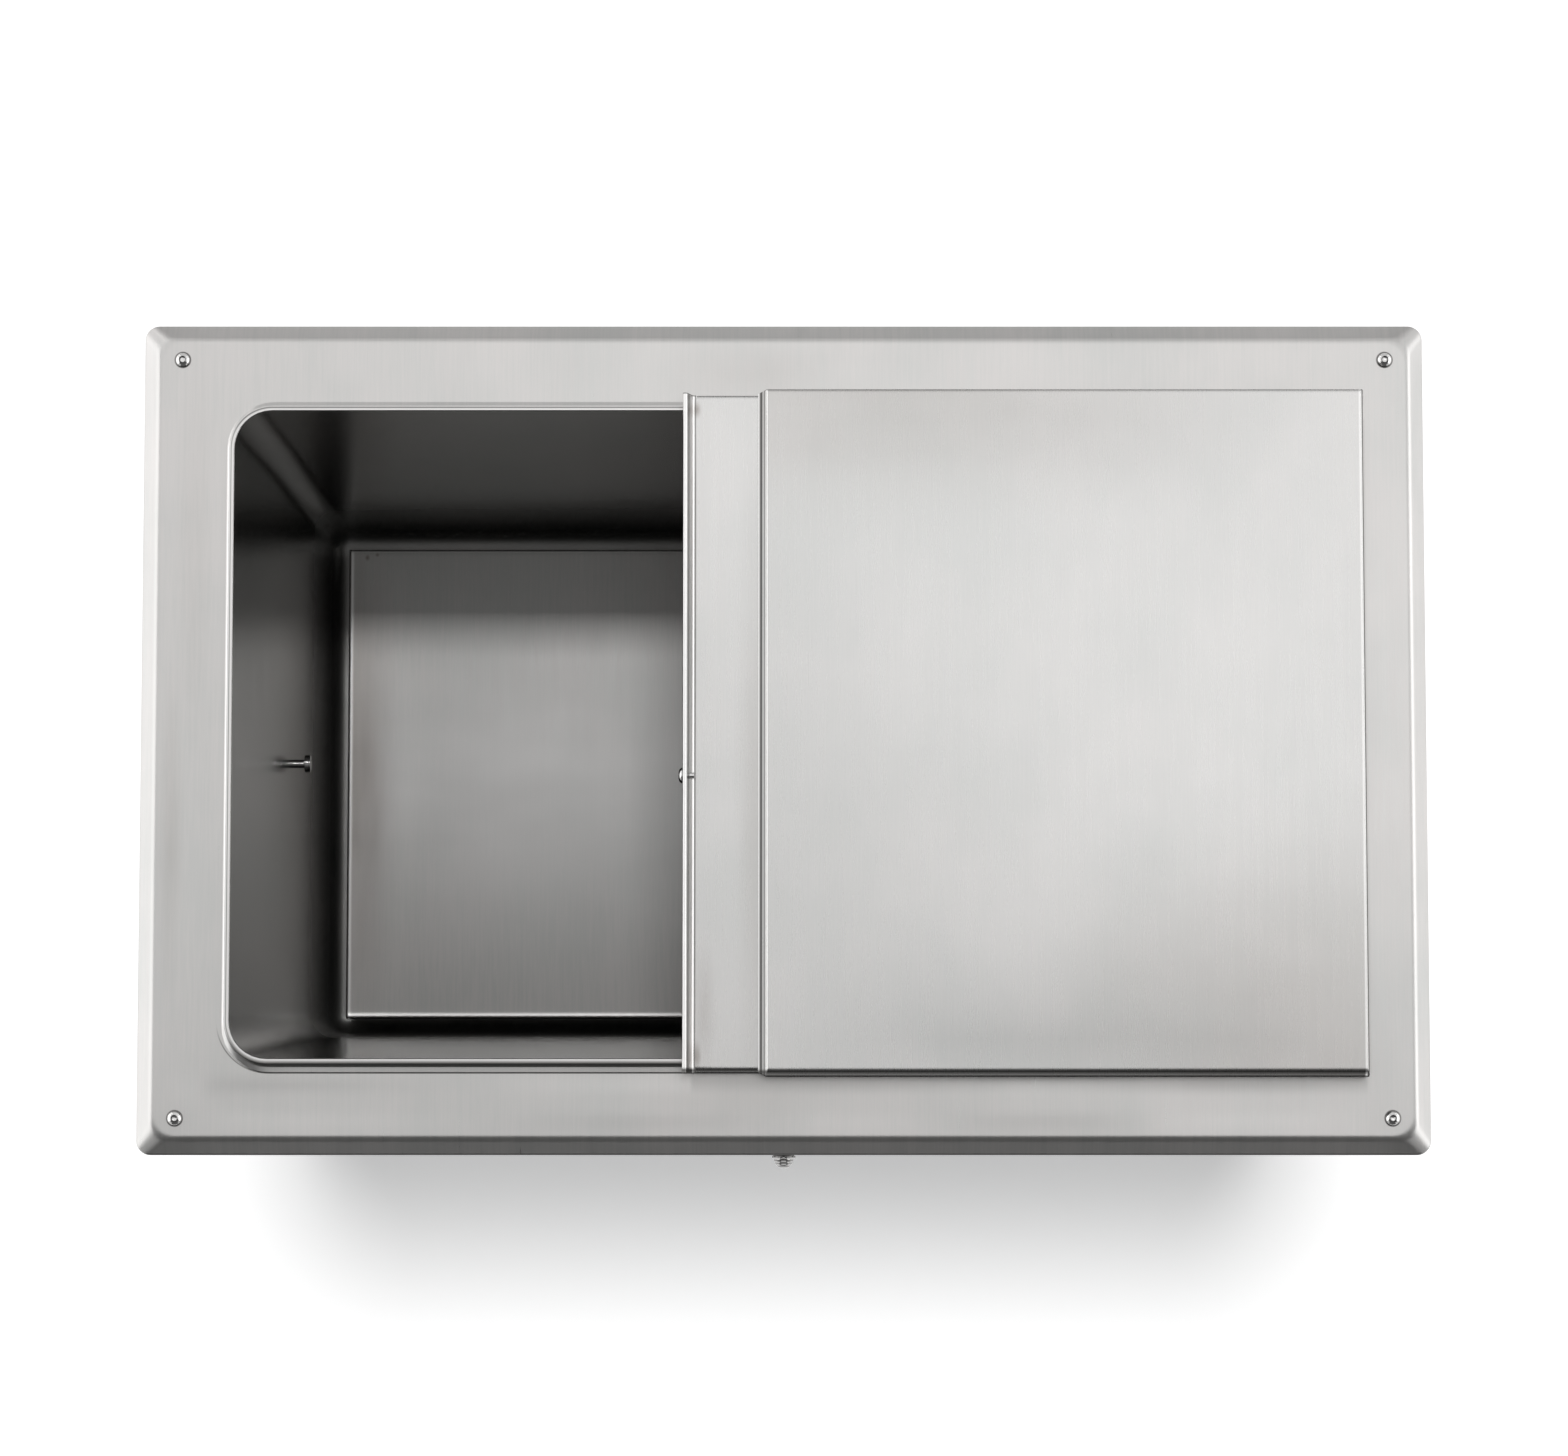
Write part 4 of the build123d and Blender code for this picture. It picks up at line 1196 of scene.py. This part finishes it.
def upperMove(x, y, z):  # crown, trimmed step, cut corners of the front skirt, flared and tabbed right skirt
    shape = upperShape
    middle = (shape["left"] + shape["right"]) / 2
    acrossShare = (x - middle) / (shape["right"] - middle - shape["rightBend"])
    alongShare = (y - openingMiddle) / ((shape["back"] - shape["front"]) / 2 - shape["crownMargin"])
    if abs(z - shape["top"]) < samePlace and abs(acrossShare) < 1 and abs(alongShare) < 1:
        share = (1 - acrossShare ** 2) * (1 - alongShare ** 4)
        z += share * (shape["crown"] + wander(x, y, 4.0, shape["waverCell"], shape["waver"]))
    if x < shape["left"]:
        trim = shape["stepTrim"] * (shape["left"] - x) / shape["stepReach"]
        y = openingMiddle + (y - openingMiddle) * (1 - trim / (openingMiddle - shape["front"]))
    if y < shape["front"] + sameHeight and z < shape["footTop"]:
        corner = max(0.0, shape["footRadius"] - (x - shape["left"]))
        rounded = shape["footRadius"] - math.sqrt(max(0.0, shape["footRadius"] ** 2 - corner ** 2))
        length, rise = shape["footCut"]
        cut = rise * max(0.0, (x - shape["right"] + length) / length)
        z = max(z, shape["foot"] + max(rounded, cut))
    if x > shape["right"] - sameHeight:
        start, end, width = shape["flare"]
        flare = width * max(0.0, min(1.0, (y - start) / (end - start)))
        low, stop, reach = shape["tab"]
        if low < y < stop:
            flare += (reach - width) * fadeFrom(z, shape["tabFade"])
        x += flare * fadeFrom(z, shape["flareFade"])
    return (x, y, z)


def upperStations():
    shape = upperShape
    top, left, right = shape["top"], shape["left"], shape["right"]
    first, second = shape["stepBends"]
    corners = [(left - shape["stepReach"], shape["stepHeight"], 0), (left, shape["stepHeight"], first),
               (left, top, second), (left + 9, top, 0)]
    step = roundedPath(corners, 5, 0.3)[:-2]
    stations = [(u, v, "step" if u < left - samePlace else "bend") for u, v, heading in step]
    stations += [(left + inwards, top, "flat") for inwards in shape["nearLeft"]]
    stations += flatStations(left + shape["middle"][0], right - shape["middle"][1], top, 26)
    stations += [(right - inwards, top, "flat") for inwards in shape["nearRight"]]
    levels = bendLevels(top, shape["rightBend"], 8, shape["falls"] + [shape["foot"]])
    return stations + fallStations(right, 1, top, levels, shape["rightBend"])[::-1]


def makeUpperCover():
    shape = upperShape
    across = upperStations()
    along = foldedEnds(shape, shape["falls"] + [shape["foot"]], 24)
    rule = cellRule(across, along)

    def keep(i, j):  # the right skirt ends at its tab
        skirt = min(across[i][0], across[i + 1][0]) > shape["right"] - sameHeight
        return rule(i, j) and not (skirt and along[j][0] > shape["tab"][1] - 0.1)

    working = foldedSheet(across, along, keep, upperMove)
    placeSheet("upperSheet", working, "upperCover", shape, "fixed_cover", "fixed_cover_panel")


makeUpperCover()
print("false bottom and covers made")


# trees that grow what repeats: sizes are named inputs, in metres, and each ends in one plain mesh
class Growth:
    kinds = {float: "NodeSocketFloat", int: "NodeSocketInt"}

    def __init__(self, name, sizes, needsPiece=False):
        self.tree = bpy.data.node_groups.new(name, "GeometryNodeTree")
        self.sockets = {}
        self.addInput("Geometry", "NodeSocketGeometry")
        for label, value in sizes.items():
            self.addInput(label, self.kinds[type(value)])
        if needsPiece:
            self.addInput("Piece", "NodeSocketObject")
        self.addInput("Finish", "NodeSocketMaterial")
        self.tree.interface.new_socket("Geometry", in_out="OUTPUT", socket_type="NodeSocketGeometry")
        self.entry = self.tree.nodes.new("NodeGroupInput")

    def addInput(self, label, kind):
        made = self.tree.interface.new_socket(label, in_out="INPUT", socket_type=kind)
        self.sockets[label] = made.identifier

    def size(self, label):
        return Wire(self.tree, self.entry.outputs[label])

    def node(self, kind, settings=None, inputs=None, output=0):
        made = self.tree.nodes.new(kind)
        for key, value in (settings or {}).items():
            setattr(made, key, value)
        for key, value in (inputs or {}).items():
            connect(self.tree, value, made.inputs[key])
        return None if output is None else Wire(self.tree, made.outputs[output])

    def joined(self, *parts):
        made = self.tree.nodes.new("GeometryNodeJoinGeometry")
        for part in parts:
            self.tree.links.new(part.socket, made.inputs[0])
        return Wire(self.tree, made.outputs[0])

    def finish(self, geometry):
        real = self.node("GeometryNodeRealizeInstances", None, {0: geometry})
        dressed = self.node("GeometryNodeSetMaterial", None, {0: real, 2: self.size("Finish")})
        self.node("NodeGroupOutput", None, {0: dressed}, None)

    def grow(self, name, data, values, finishName):
        piece = added(name, data)
        modifier = piece.modifiers.new("growth", "NODES")
        modifier.node_group = self.tree
        for label, value in {**values, "Finish": finishes[finishName]}.items():
            modifier[self.sockets[label]] = value
        bake(piece)
        return piece


# a thread's depth under the crest and its ridge's radius, in pitches, and the sides of its parts
threadShape = {
    "depth": 0.32,
    "ridge": 0.34,
    "sides": 32,
    "turnSteps": 20,
    "ridgeSides": 8,
}


def threadTree():  # a shank along -Z with a round-crested thread on its lower end
    sizes = {"Radius": 0.0025, "Pitch": 0.0008, "Shank Length": 0.05, "Thread Length": 0.03}
    growth = Growth("threadedShank", sizes)
    radius, pitch = growth.size("Radius"), growth.size("Pitch")
    long, threaded = growth.size("Shank Length"), growth.size("Thread Length")
    core = radius - pitch * threadShape["depth"]

    def moved(geometry, height):
        offset = growth.node("ShaderNodeCombineXYZ", None, {"Z": height})
        return growth.node("GeometryNodeTransform", None, {"Geometry": geometry, "Translation": offset})

    def cylinder(around, length):
        sizes = {"Vertices": threadShape["sides"], "Radius": around, "Depth": length}
        return moved(growth.node("GeometryNodeMeshCylinder", None, sizes), length * -0.5)

    shank = cylinder(core, long)
    neck = cylinder(radius, long - threaded)
    rise = threaded - pitch
    spiral = growth.node("GeometryNodeCurveSpiral", None, {
        "Resolution": threadShape["turnSteps"], "Rotations": rise / pitch,
        "Start Radius": core, "End Radius": core, "Height": rise})
    crest = growth.node("GeometryNodeCurvePrimitiveCircle", None, {
        "Resolution": threadShape["ridgeSides"], "Radius": pitch * threadShape["ridge"]})
    ridge = growth.node("GeometryNodeCurveToMesh", None, {
        "Curve": moved(spiral, pitch * 0.5 - long), "Profile Curve": crest, "Fill Caps": True})
    growth.finish(growth.joined(shank, neck, ridge))
    return growth


def placingTree():  # copies of a piece on points, each turned a little about its own axis
    growth = Growth("placedPieces", {"Spin": 0.6, "Seed": 3}, needsPiece=True)
    piece = growth.node("GeometryNodeObjectInfo", None, {"Object": growth.size("Piece")}, "Geometry")
    turn = growth.node("GeometryNodeInputNamedAttribute", {"data_type": "FLOAT_VECTOR"}, {"Name": "turn"})
    random = growth.node("FunctionNodeRandomValue", {"data_type": "FLOAT"}, {
        2: growth.size("Spin") * -1.0, 3: growth.size("Spin"), "Seed": growth.size("Seed")}, 1)
    spin = growth.node("FunctionNodeAxisAngleToRotation", None, {"Axis": (0, 0, 1), "Angle": random})
    facing = growth.node("FunctionNodeEulerToRotation", None, {0: turn})
    rotation = growth.node("FunctionNodeRotateRotation", {"rotation_space": "LOCAL"}, {0: facing, 1: spin})
    copies = growth.node("GeometryNodeInstanceOnPoints", None, {
        "Points": growth.size("Geometry"), "Instance": piece, "Rotation": rotation})
    growth.finish(copies)
    return growth


threads = threadTree()
copies = placingTree()


def pointMesh(name, points):
    data = bpy.data.meshes.new(name)
    data.from_pydata(points, [], [])
    return data


def threadedShank(name, radius, pitch, long, threaded, finishName):  # sizes in mm
    labels = ("Radius", "Pitch", "Shank Length", "Thread Length")
    values = {label: size * mm for label, size in zip(labels, (radius, pitch, long, threaded))}
    return threads.grow(name, pointMesh(name, [(0, 0, 0)]), values, finishName)


def upright(corners, height):
    return [(x, y, height, (0, 0, 0)) for x, y in corners]


# places are (x, y, z, turn), in mm and radians; turning is how far a copy may turn about its axis, and a seed
def placeCopies(name, piece, finishName, places, turning, nodeName):
    data = pointMesh(name, [(x * mm, y * mm, z * mm) for x, y, z, turn in places])
    turns = data.attributes.new("turn", "FLOAT_VECTOR", "POINT")
    for at, (x, y, z, turn) in enumerate(places):
        turns.data[at].vector = turn
    spin, seed = turning
    grown = copies.grow(name, data, {"Spin": spin, "Seed": seed, "Piece": piece}, finishName)
    bpy.data.objects.remove(piece)
    place(grown, "root", nodeName)


def joinPieces(name, finishName, *pieces):
    working = bmesh.new()
    for piece in pieces:
        working.from_mesh(piece.data)
        bpy.data.objects.remove(piece)
    return finishPiece(name, working, finishName)


# profiles of turned pieces are (radius, height[, distance across a hexagon]) in mm
def arc(centreR, centreZ, radius, low, high, steps):  # angles in degrees, from level outwards
    points = []
    for step in range(steps + 1):
        angle = math.radians(low + (high - low) * step / steps)
        points.append((centreR + radius * math.cos(angle), centreZ + radius * math.sin(angle)))
    return points


screwShape = {
    "rim": [(0, -0.01), (4.45, -0.01), (4.75, 0.22), (4.78, 0.42)],
    "dome": (1.35, -0.95, 3.72, 22, 78, 8),
    "socket": [(2.02, 2.72), (3, 2.64, 3.75), (3, 2.50, 3.4), (3, 1.15, 3.4), (0, 0.70)],
    "shank": (2.5, 0.8, 50.0, 30.0),
    "seat": 30.0,
    "turning": (0.9, 11),
}


def makeScrews():
    shape = screwShape
    profile = shape["rim"] + arc(*shape["dome"]) + shape["socket"]
    head = makePiece("screwHead", turned(profile, 96), "screw")
    screw = joinPieces("screw", "screw", head, threadedShank("screwShank", *shape["shank"], "screw"))
    across, along = screwPlaces
    places = upright([(x, y) for x in (-across, across) for y in (-along, along)], shape["seat"])
    placeCopies("cornerScrews", screw, "screw", places, shape["turning"], "corner_screws")


rivetShape = {
    "foot": [(0, -2.0), (1.6, -2.0), (1.6, 1.0), (3.2, 1.0)],
    "dome": (0.9, 0.95, 2.35, 5, 60, 5),
    "hollow": [(1.25, 2.1), (0.95, 2.02), (0.85, 1.6), (0, 1.55)],
    "rows": {"long": (-0.38, -0.13, 0.13, 0.38), "short": (-0.3, 0.3)},
    "casing": (717.0, 431.5),
    "height": -383.5,
    "turning": (0.3, 5),
}


def makeRivets():
    shape = rivetShape
    profile = shape["foot"] + arc(*shape["dome"])[:-1] + shape["hollow"]
    rivet = makePiece("rivet", turned(profile, 32), "galvanised")
    length, depth = shape["casing"]
    quarter = math.pi / 2
    places = []
    for share in shape["rows"]["long"]:
        for side, turn in ((-1, 0), (1, math.pi)):
            y = openingMiddle + side * depth / 2
            places.append((share * length, y, shape["height"], (quarter, 0, turn)))
    for share in shape["rows"]["short"]:
        for side in (-1, 1):
            y = openingMiddle + share * depth
            places.append((side * length / 2, y, shape["height"], (quarter, 0, side * quarter)))
    placeCopies("casingRivets", rivet, "galvanised", places, shape["turning"], "casing_rivets")


flangeShape = {
    "studs": ((218.4, 222.75), (218.4, -219.75), (364.0, 134.25), (364.0, -131.25)),
    "studTop": 28.5,
    "shank": (2.0, 0.7, 12.0, 11.0),
    "studTurning": (0.0, 2),
    "nutSeat": 26.0,
    "nut": (6.93, 3.2, 2.0),
    "nutBevel": 0.3,
    "nutFace": 1.03,
    "nutCorner": 0.14,
    "nutTurning": (0.8, 4),
}


def hexNut(name, across, height, hole, finishName):  # sits under z = 0, with turned corners
    bevel = flangeShape["nutBevel"]
    flat = across * flangeShape["nutFace"] / 2
    corner = across * flangeShape["nutCorner"]
    profile = [
        (hole, bevel - height), (hole + bevel, -height), (flat, -height), (across, corner - height, across),
        (across, -corner, across), (flat, 0), (hole + bevel, 0), (hole, -bevel),
    ]
    return makePiece(name, turned(profile), finishName)


def makeFlangeFasteners():
    shape = flangeShape
    corners = [(side * x, y) for x, y in shape["studs"] for side in (-1, 1)]
    stud = threadedShank("stud", *shape["shank"], "galvanised")
    places = upright(corners, shape["studTop"])
    placeCopies("casingStuds", stud, "galvanised", places, shape["studTurning"], "casing_studs")
    nut = hexNut("nut", *shape["nut"], "galvanised")
    places = upright(corners, shape["nutSeat"])
    placeCopies("casingNuts", nut, "galvanised", places, shape["nutTurning"], "casing_nuts")


makeScrews()
makeRivets()
makeFlangeFasteners()


# single turned pieces: profile in parts, then a place in mm and a turn in degrees
capNutShape = {
    "hexagon": [(0, 0.02), (6.2, 0.02), (9, 0.45, 12.9), (9, 1.75, 12.9), (6.45, 2.1), (6.25, 2.35)],
    "dome": (0.0, 2.2, 6.25, 4, 90, 12),
    "groove": 0.035,
    "top": 8.45,
    "stand": (0, -263.0, 10.5, 90, "X"),
}
wallPinShape = {
    "shank": [(0, -6.5), (2.6, -6.5), (2.9, -6.1), (2.9, 8.4), (3.3, 9.0), (5.7, 9.0), (6.0, 9.3)],
    "rim": (5.4, 12.4, 0.6, -10, 80, 5),
    "face": [(3.0, 13.25), (0, 13.3)],
    "stand": (-332.58, 0, -187.0, 90, "Y"),
}
fingerStudShape = {
    "shank": [(0, -4.7), (2.0, -4.7), (2.0, 0.0), (4.6, 0.0), (5.0, 0.3), (5.0, 2.2)],
    "rim": (2.3, 2.3, 2.7, 0, 90, 8),
    "face": [(0, 5.2)],
    "stand": (-60.874, -26.0, 46.7, -90, "Y"),
}


def standing(x, y, z, angle, axis):
    return Matrix.Translation((x * mm, y * mm, z * mm)) @ Matrix.Rotation(math.radians(angle), 4, axis)


def makeCapNut():  # every other ring of the dome is a fine groove
    shape = capNutShape
    profile = list(shape["hexagon"])
    for step, (r, z) in enumerate(arc(*shape["dome"])[1:-1]):
        profile.append((r * (1 - shape["groove"] * math.sin(step * math.pi / 2) ** 2), z))
    profile.append((0, shape["top"]))
    nut = makePiece("capNut", turned(profile, 72), "nut", standing(*shape["stand"]))
    place(nut, "root", "front_cap_nut")


def makeHeadedPiece(name, shape, body, nodeName):
    profile = shape["shank"] + arc(*shape["rim"]) + shape["face"]
    piece = makePiece(name, turned(profile, 64), "polished", standing(*shape["stand"]))
    place(piece, body, nodeName)


makeCapNut()
makeHeadedPiece("wallPin", wallPinShape, "root", "wall_pin")
makeHeadedPiece("fingerStud", fingerStudShape, "sliding_cover", "finger_stud")
print("fasteners grown and small pieces turned")


# floor and lights; radiance is what a light's face gives off, places and sizes are in metres
floorSetup = {
    "height": cadBox[0].z,
    "half": 14.0,
    "glow": 0.42,
    "tones": ((0.80, 0.80, 0.80, 1), (0.82, 0.82, 0.82, 1)),
    "mottle": (0.5, 0.5, 0.5),
    "roughness": 0.9,
}
# place, point it faces, size, radiance, and what it lights
softboxes = {
    "overheadWide": ((0.0, 1.70, 4.6), (0.0, 1.70, 0.0), (7.6, 4.8), 0.86, "top"),
    "overheadKey": ((0.40, 0.52, 4.3), (0.1, 0.1, 0.0), (2.4, 0.42), 0.72, "top"),
    "cornerKey": ((1.15, 0.80, 4.3), (0.3, 0.2, 0.0), (0.9, 0.8), 0.45, "top"),
    "wellWide": ((0.0, 0.3, 4.5), (0.0, 0.3, 0.0), (5.0, 4.0), 0.12, "well"),
    "wellKey": ((0.0, 1.36, 4.2), (0.0, 0.0, 0.0), (0.9, 0.36), 14.0, "well"),
    "leftPanel": ((-4.2, 0.2, 2.3), (0.0, 0.2, 2.3), (5.0, 4.6), 1.50, "both"),
    "rightPanel": ((4.2, 0.2, 0.6), (0.0, 0.2, 0.6), (5.0, 1.2), 1.10, "both"),
    "rightHigh": ((4.2, 0.2, 2.9), (0.0, 0.2, 2.9), (5.0, 3.4), 1.80, "top"),
    "backPanel": ((0.0, 4.4, 0.6), (0.0, 0.0, 0.6), (5.0, 1.2), 0.27, "both"),
    "backHigh": ((0.0, 4.4, 2.9), (0.0, 0.0, 2.9), (7.0, 3.4), 0.62, "top"),
    "cornerLeft": ((-3.7, 3.7, 2.3), (0.0, 0.2, 2.3), (2.4, 4.6), 0.85, "top"),
    "cornerRight": ((3.9, 3.7, 2.3), (0.0, 0.2, 2.3), (2.0, 4.6), 0.75, "top"),
    "frontPanel": ((0.0, -4.4, 1.5), (0.0, 0.0, 1.5), (6.0, 3.0), 0.36, "covers"),
    "frontLeft": ((-3.5, -3.3, 1.5), (0.0, 0.0, 1.5), (2.2, 3.0), 0.45, "top"),
    "frontRight": ((3.5, -3.3, 1.5), (0.0, 0.0, 1.5), (2.2, 3.0), 0.45, "top"),
    "nutCard": ((0.0, -2.4, 1.6), (0.0, -0.27, 0.01), (3.0, 2.4), 0.75, "nut"),
}
roomTone = {"room": 0.09, "backdrop": 1.0}
floorLight = {"tilt": 14.6, "lean": 0.8, "spread": 20.0, "strength": 2.6}


def makeFloor():
    half = floorSetup["half"]
    height = floorSetup["height"]
    corners = [(-half, -half, height), (half, -half, height), (half, half, height), (-half, half, height)]
    data = bpy.data.meshes.new("floor")
    data.from_pydata(corners, [], [(0, 1, 2, 3)])
    floor = added("floor", data)
    finish = Finish("floorWhite")
    tone = finish.mix(finish.noise(floorSetup["mottle"]), *floorSetup["tones"])
    glow = {"Emission Color": (1, 1, 1, 1), "Emission Strength": floorSetup["glow"]}
    data.materials.append(finish.surface({"Base Color": tone, "Roughness": floorSetup["roughness"], **glow}))
    return floor


def pieceGroup(name, pieces, state="INCLUDE"):
    group = bpy.data.collections.new(name)
    for piece in pieces:
        group.objects.link(piece)
    for member in group.collection_objects:
        member.light_linking.link_state = state
    return group


def makeSoftbox(name, stand, aim, size, radiance, lit):
    data = bpy.data.lights.new(name, "AREA")
    data.shape = "RECTANGLE"
    data.size, data.size_y = size
    data.energy = radiance * math.pi * data.size * data.size_y
    lamp = added(name, data)
    lamp.location = stand
    lamp.rotation_mode = "QUATERNION"
    lamp.rotation_quaternion = (Vector(aim) - Vector(stand)).to_track_quat("-Z", "Y")
    lamp.visible_camera = False
    lamp.light_linking.receiver_collection = groups[lit]


def makeFloorLight(floor):  # lights the floor alone, and only the casing shades it
    data = bpy.data.lights.new("floorLight", "SUN")
    data.energy = floorLight["strength"]
    data.angle = math.radians(floorLight["spread"])
    lamp = added("floorLight", data)
    lamp.rotation_euler = (math.radians(-floorLight["tilt"]), math.radians(-floorLight["lean"]), 0)
    casing = [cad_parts[nodeName] for nodeName in ("outer_casing", "casing_bottom")]
    lamp.light_linking.receiver_collection = pieceGroup("floorAlone", [floor])
    lamp.light_linking.blocker_collection = pieceGroup("casingAlone", casing)


def makeRoom():  # the camera sees a white backdrop, and the pieces see a dim room
    world = bpy.data.worlds.new("studioRoom")
    world.use_nodes = True
    tree = world.node_tree
    tree.nodes.clear()
    path = tree.nodes.new("ShaderNodeLightPath")
    mixed = tree.nodes.new("ShaderNodeMixShader")
    end = tree.nodes.new("ShaderNodeOutputWorld")
    tree.links.new(path.outputs["Is Camera Ray"], mixed.inputs[0])
    tree.links.new(mixed.outputs[0], end.inputs["Surface"])
    for entry, strength in ((1, roomTone["room"]), (2, roomTone["backdrop"])):
        shade = tree.nodes.new("ShaderNodeBackground")
        shade.inputs["Strength"].default_value = strength
        shade.inputs["Color"].default_value = (1, 1, 1, 1)
        tree.links.new(shade.outputs[0], mixed.inputs[entry])
    scene.world = world


floor = makeFloor()
wellPieces = [bpy.data.objects[name] for name in ("wellSheet", "falseBottomSheet", "wallPin")]
groups = {
    "well": pieceGroup("wellPieces", wellPieces),
    "top": pieceGroup("topPieces", wellPieces + [floor], "EXCLUDE"),
    "both": pieceGroup("allPieces", [floor], "EXCLUDE"),
    "covers": pieceGroup("coverPieces", [bpy.data.objects[name] for name in ("upperSheet", "slidingSheet")]),
    "nut": pieceGroup("nutAlone", [bpy.data.objects["capNut"]]),
}
for boxName, box in softboxes.items():
    makeSoftbox(boxName, *box)
makeFloorLight(floor)
makeRoom()
scene.view_settings.view_transform = "Standard"
print("floor and", len(softboxes) + 1, "lights made")
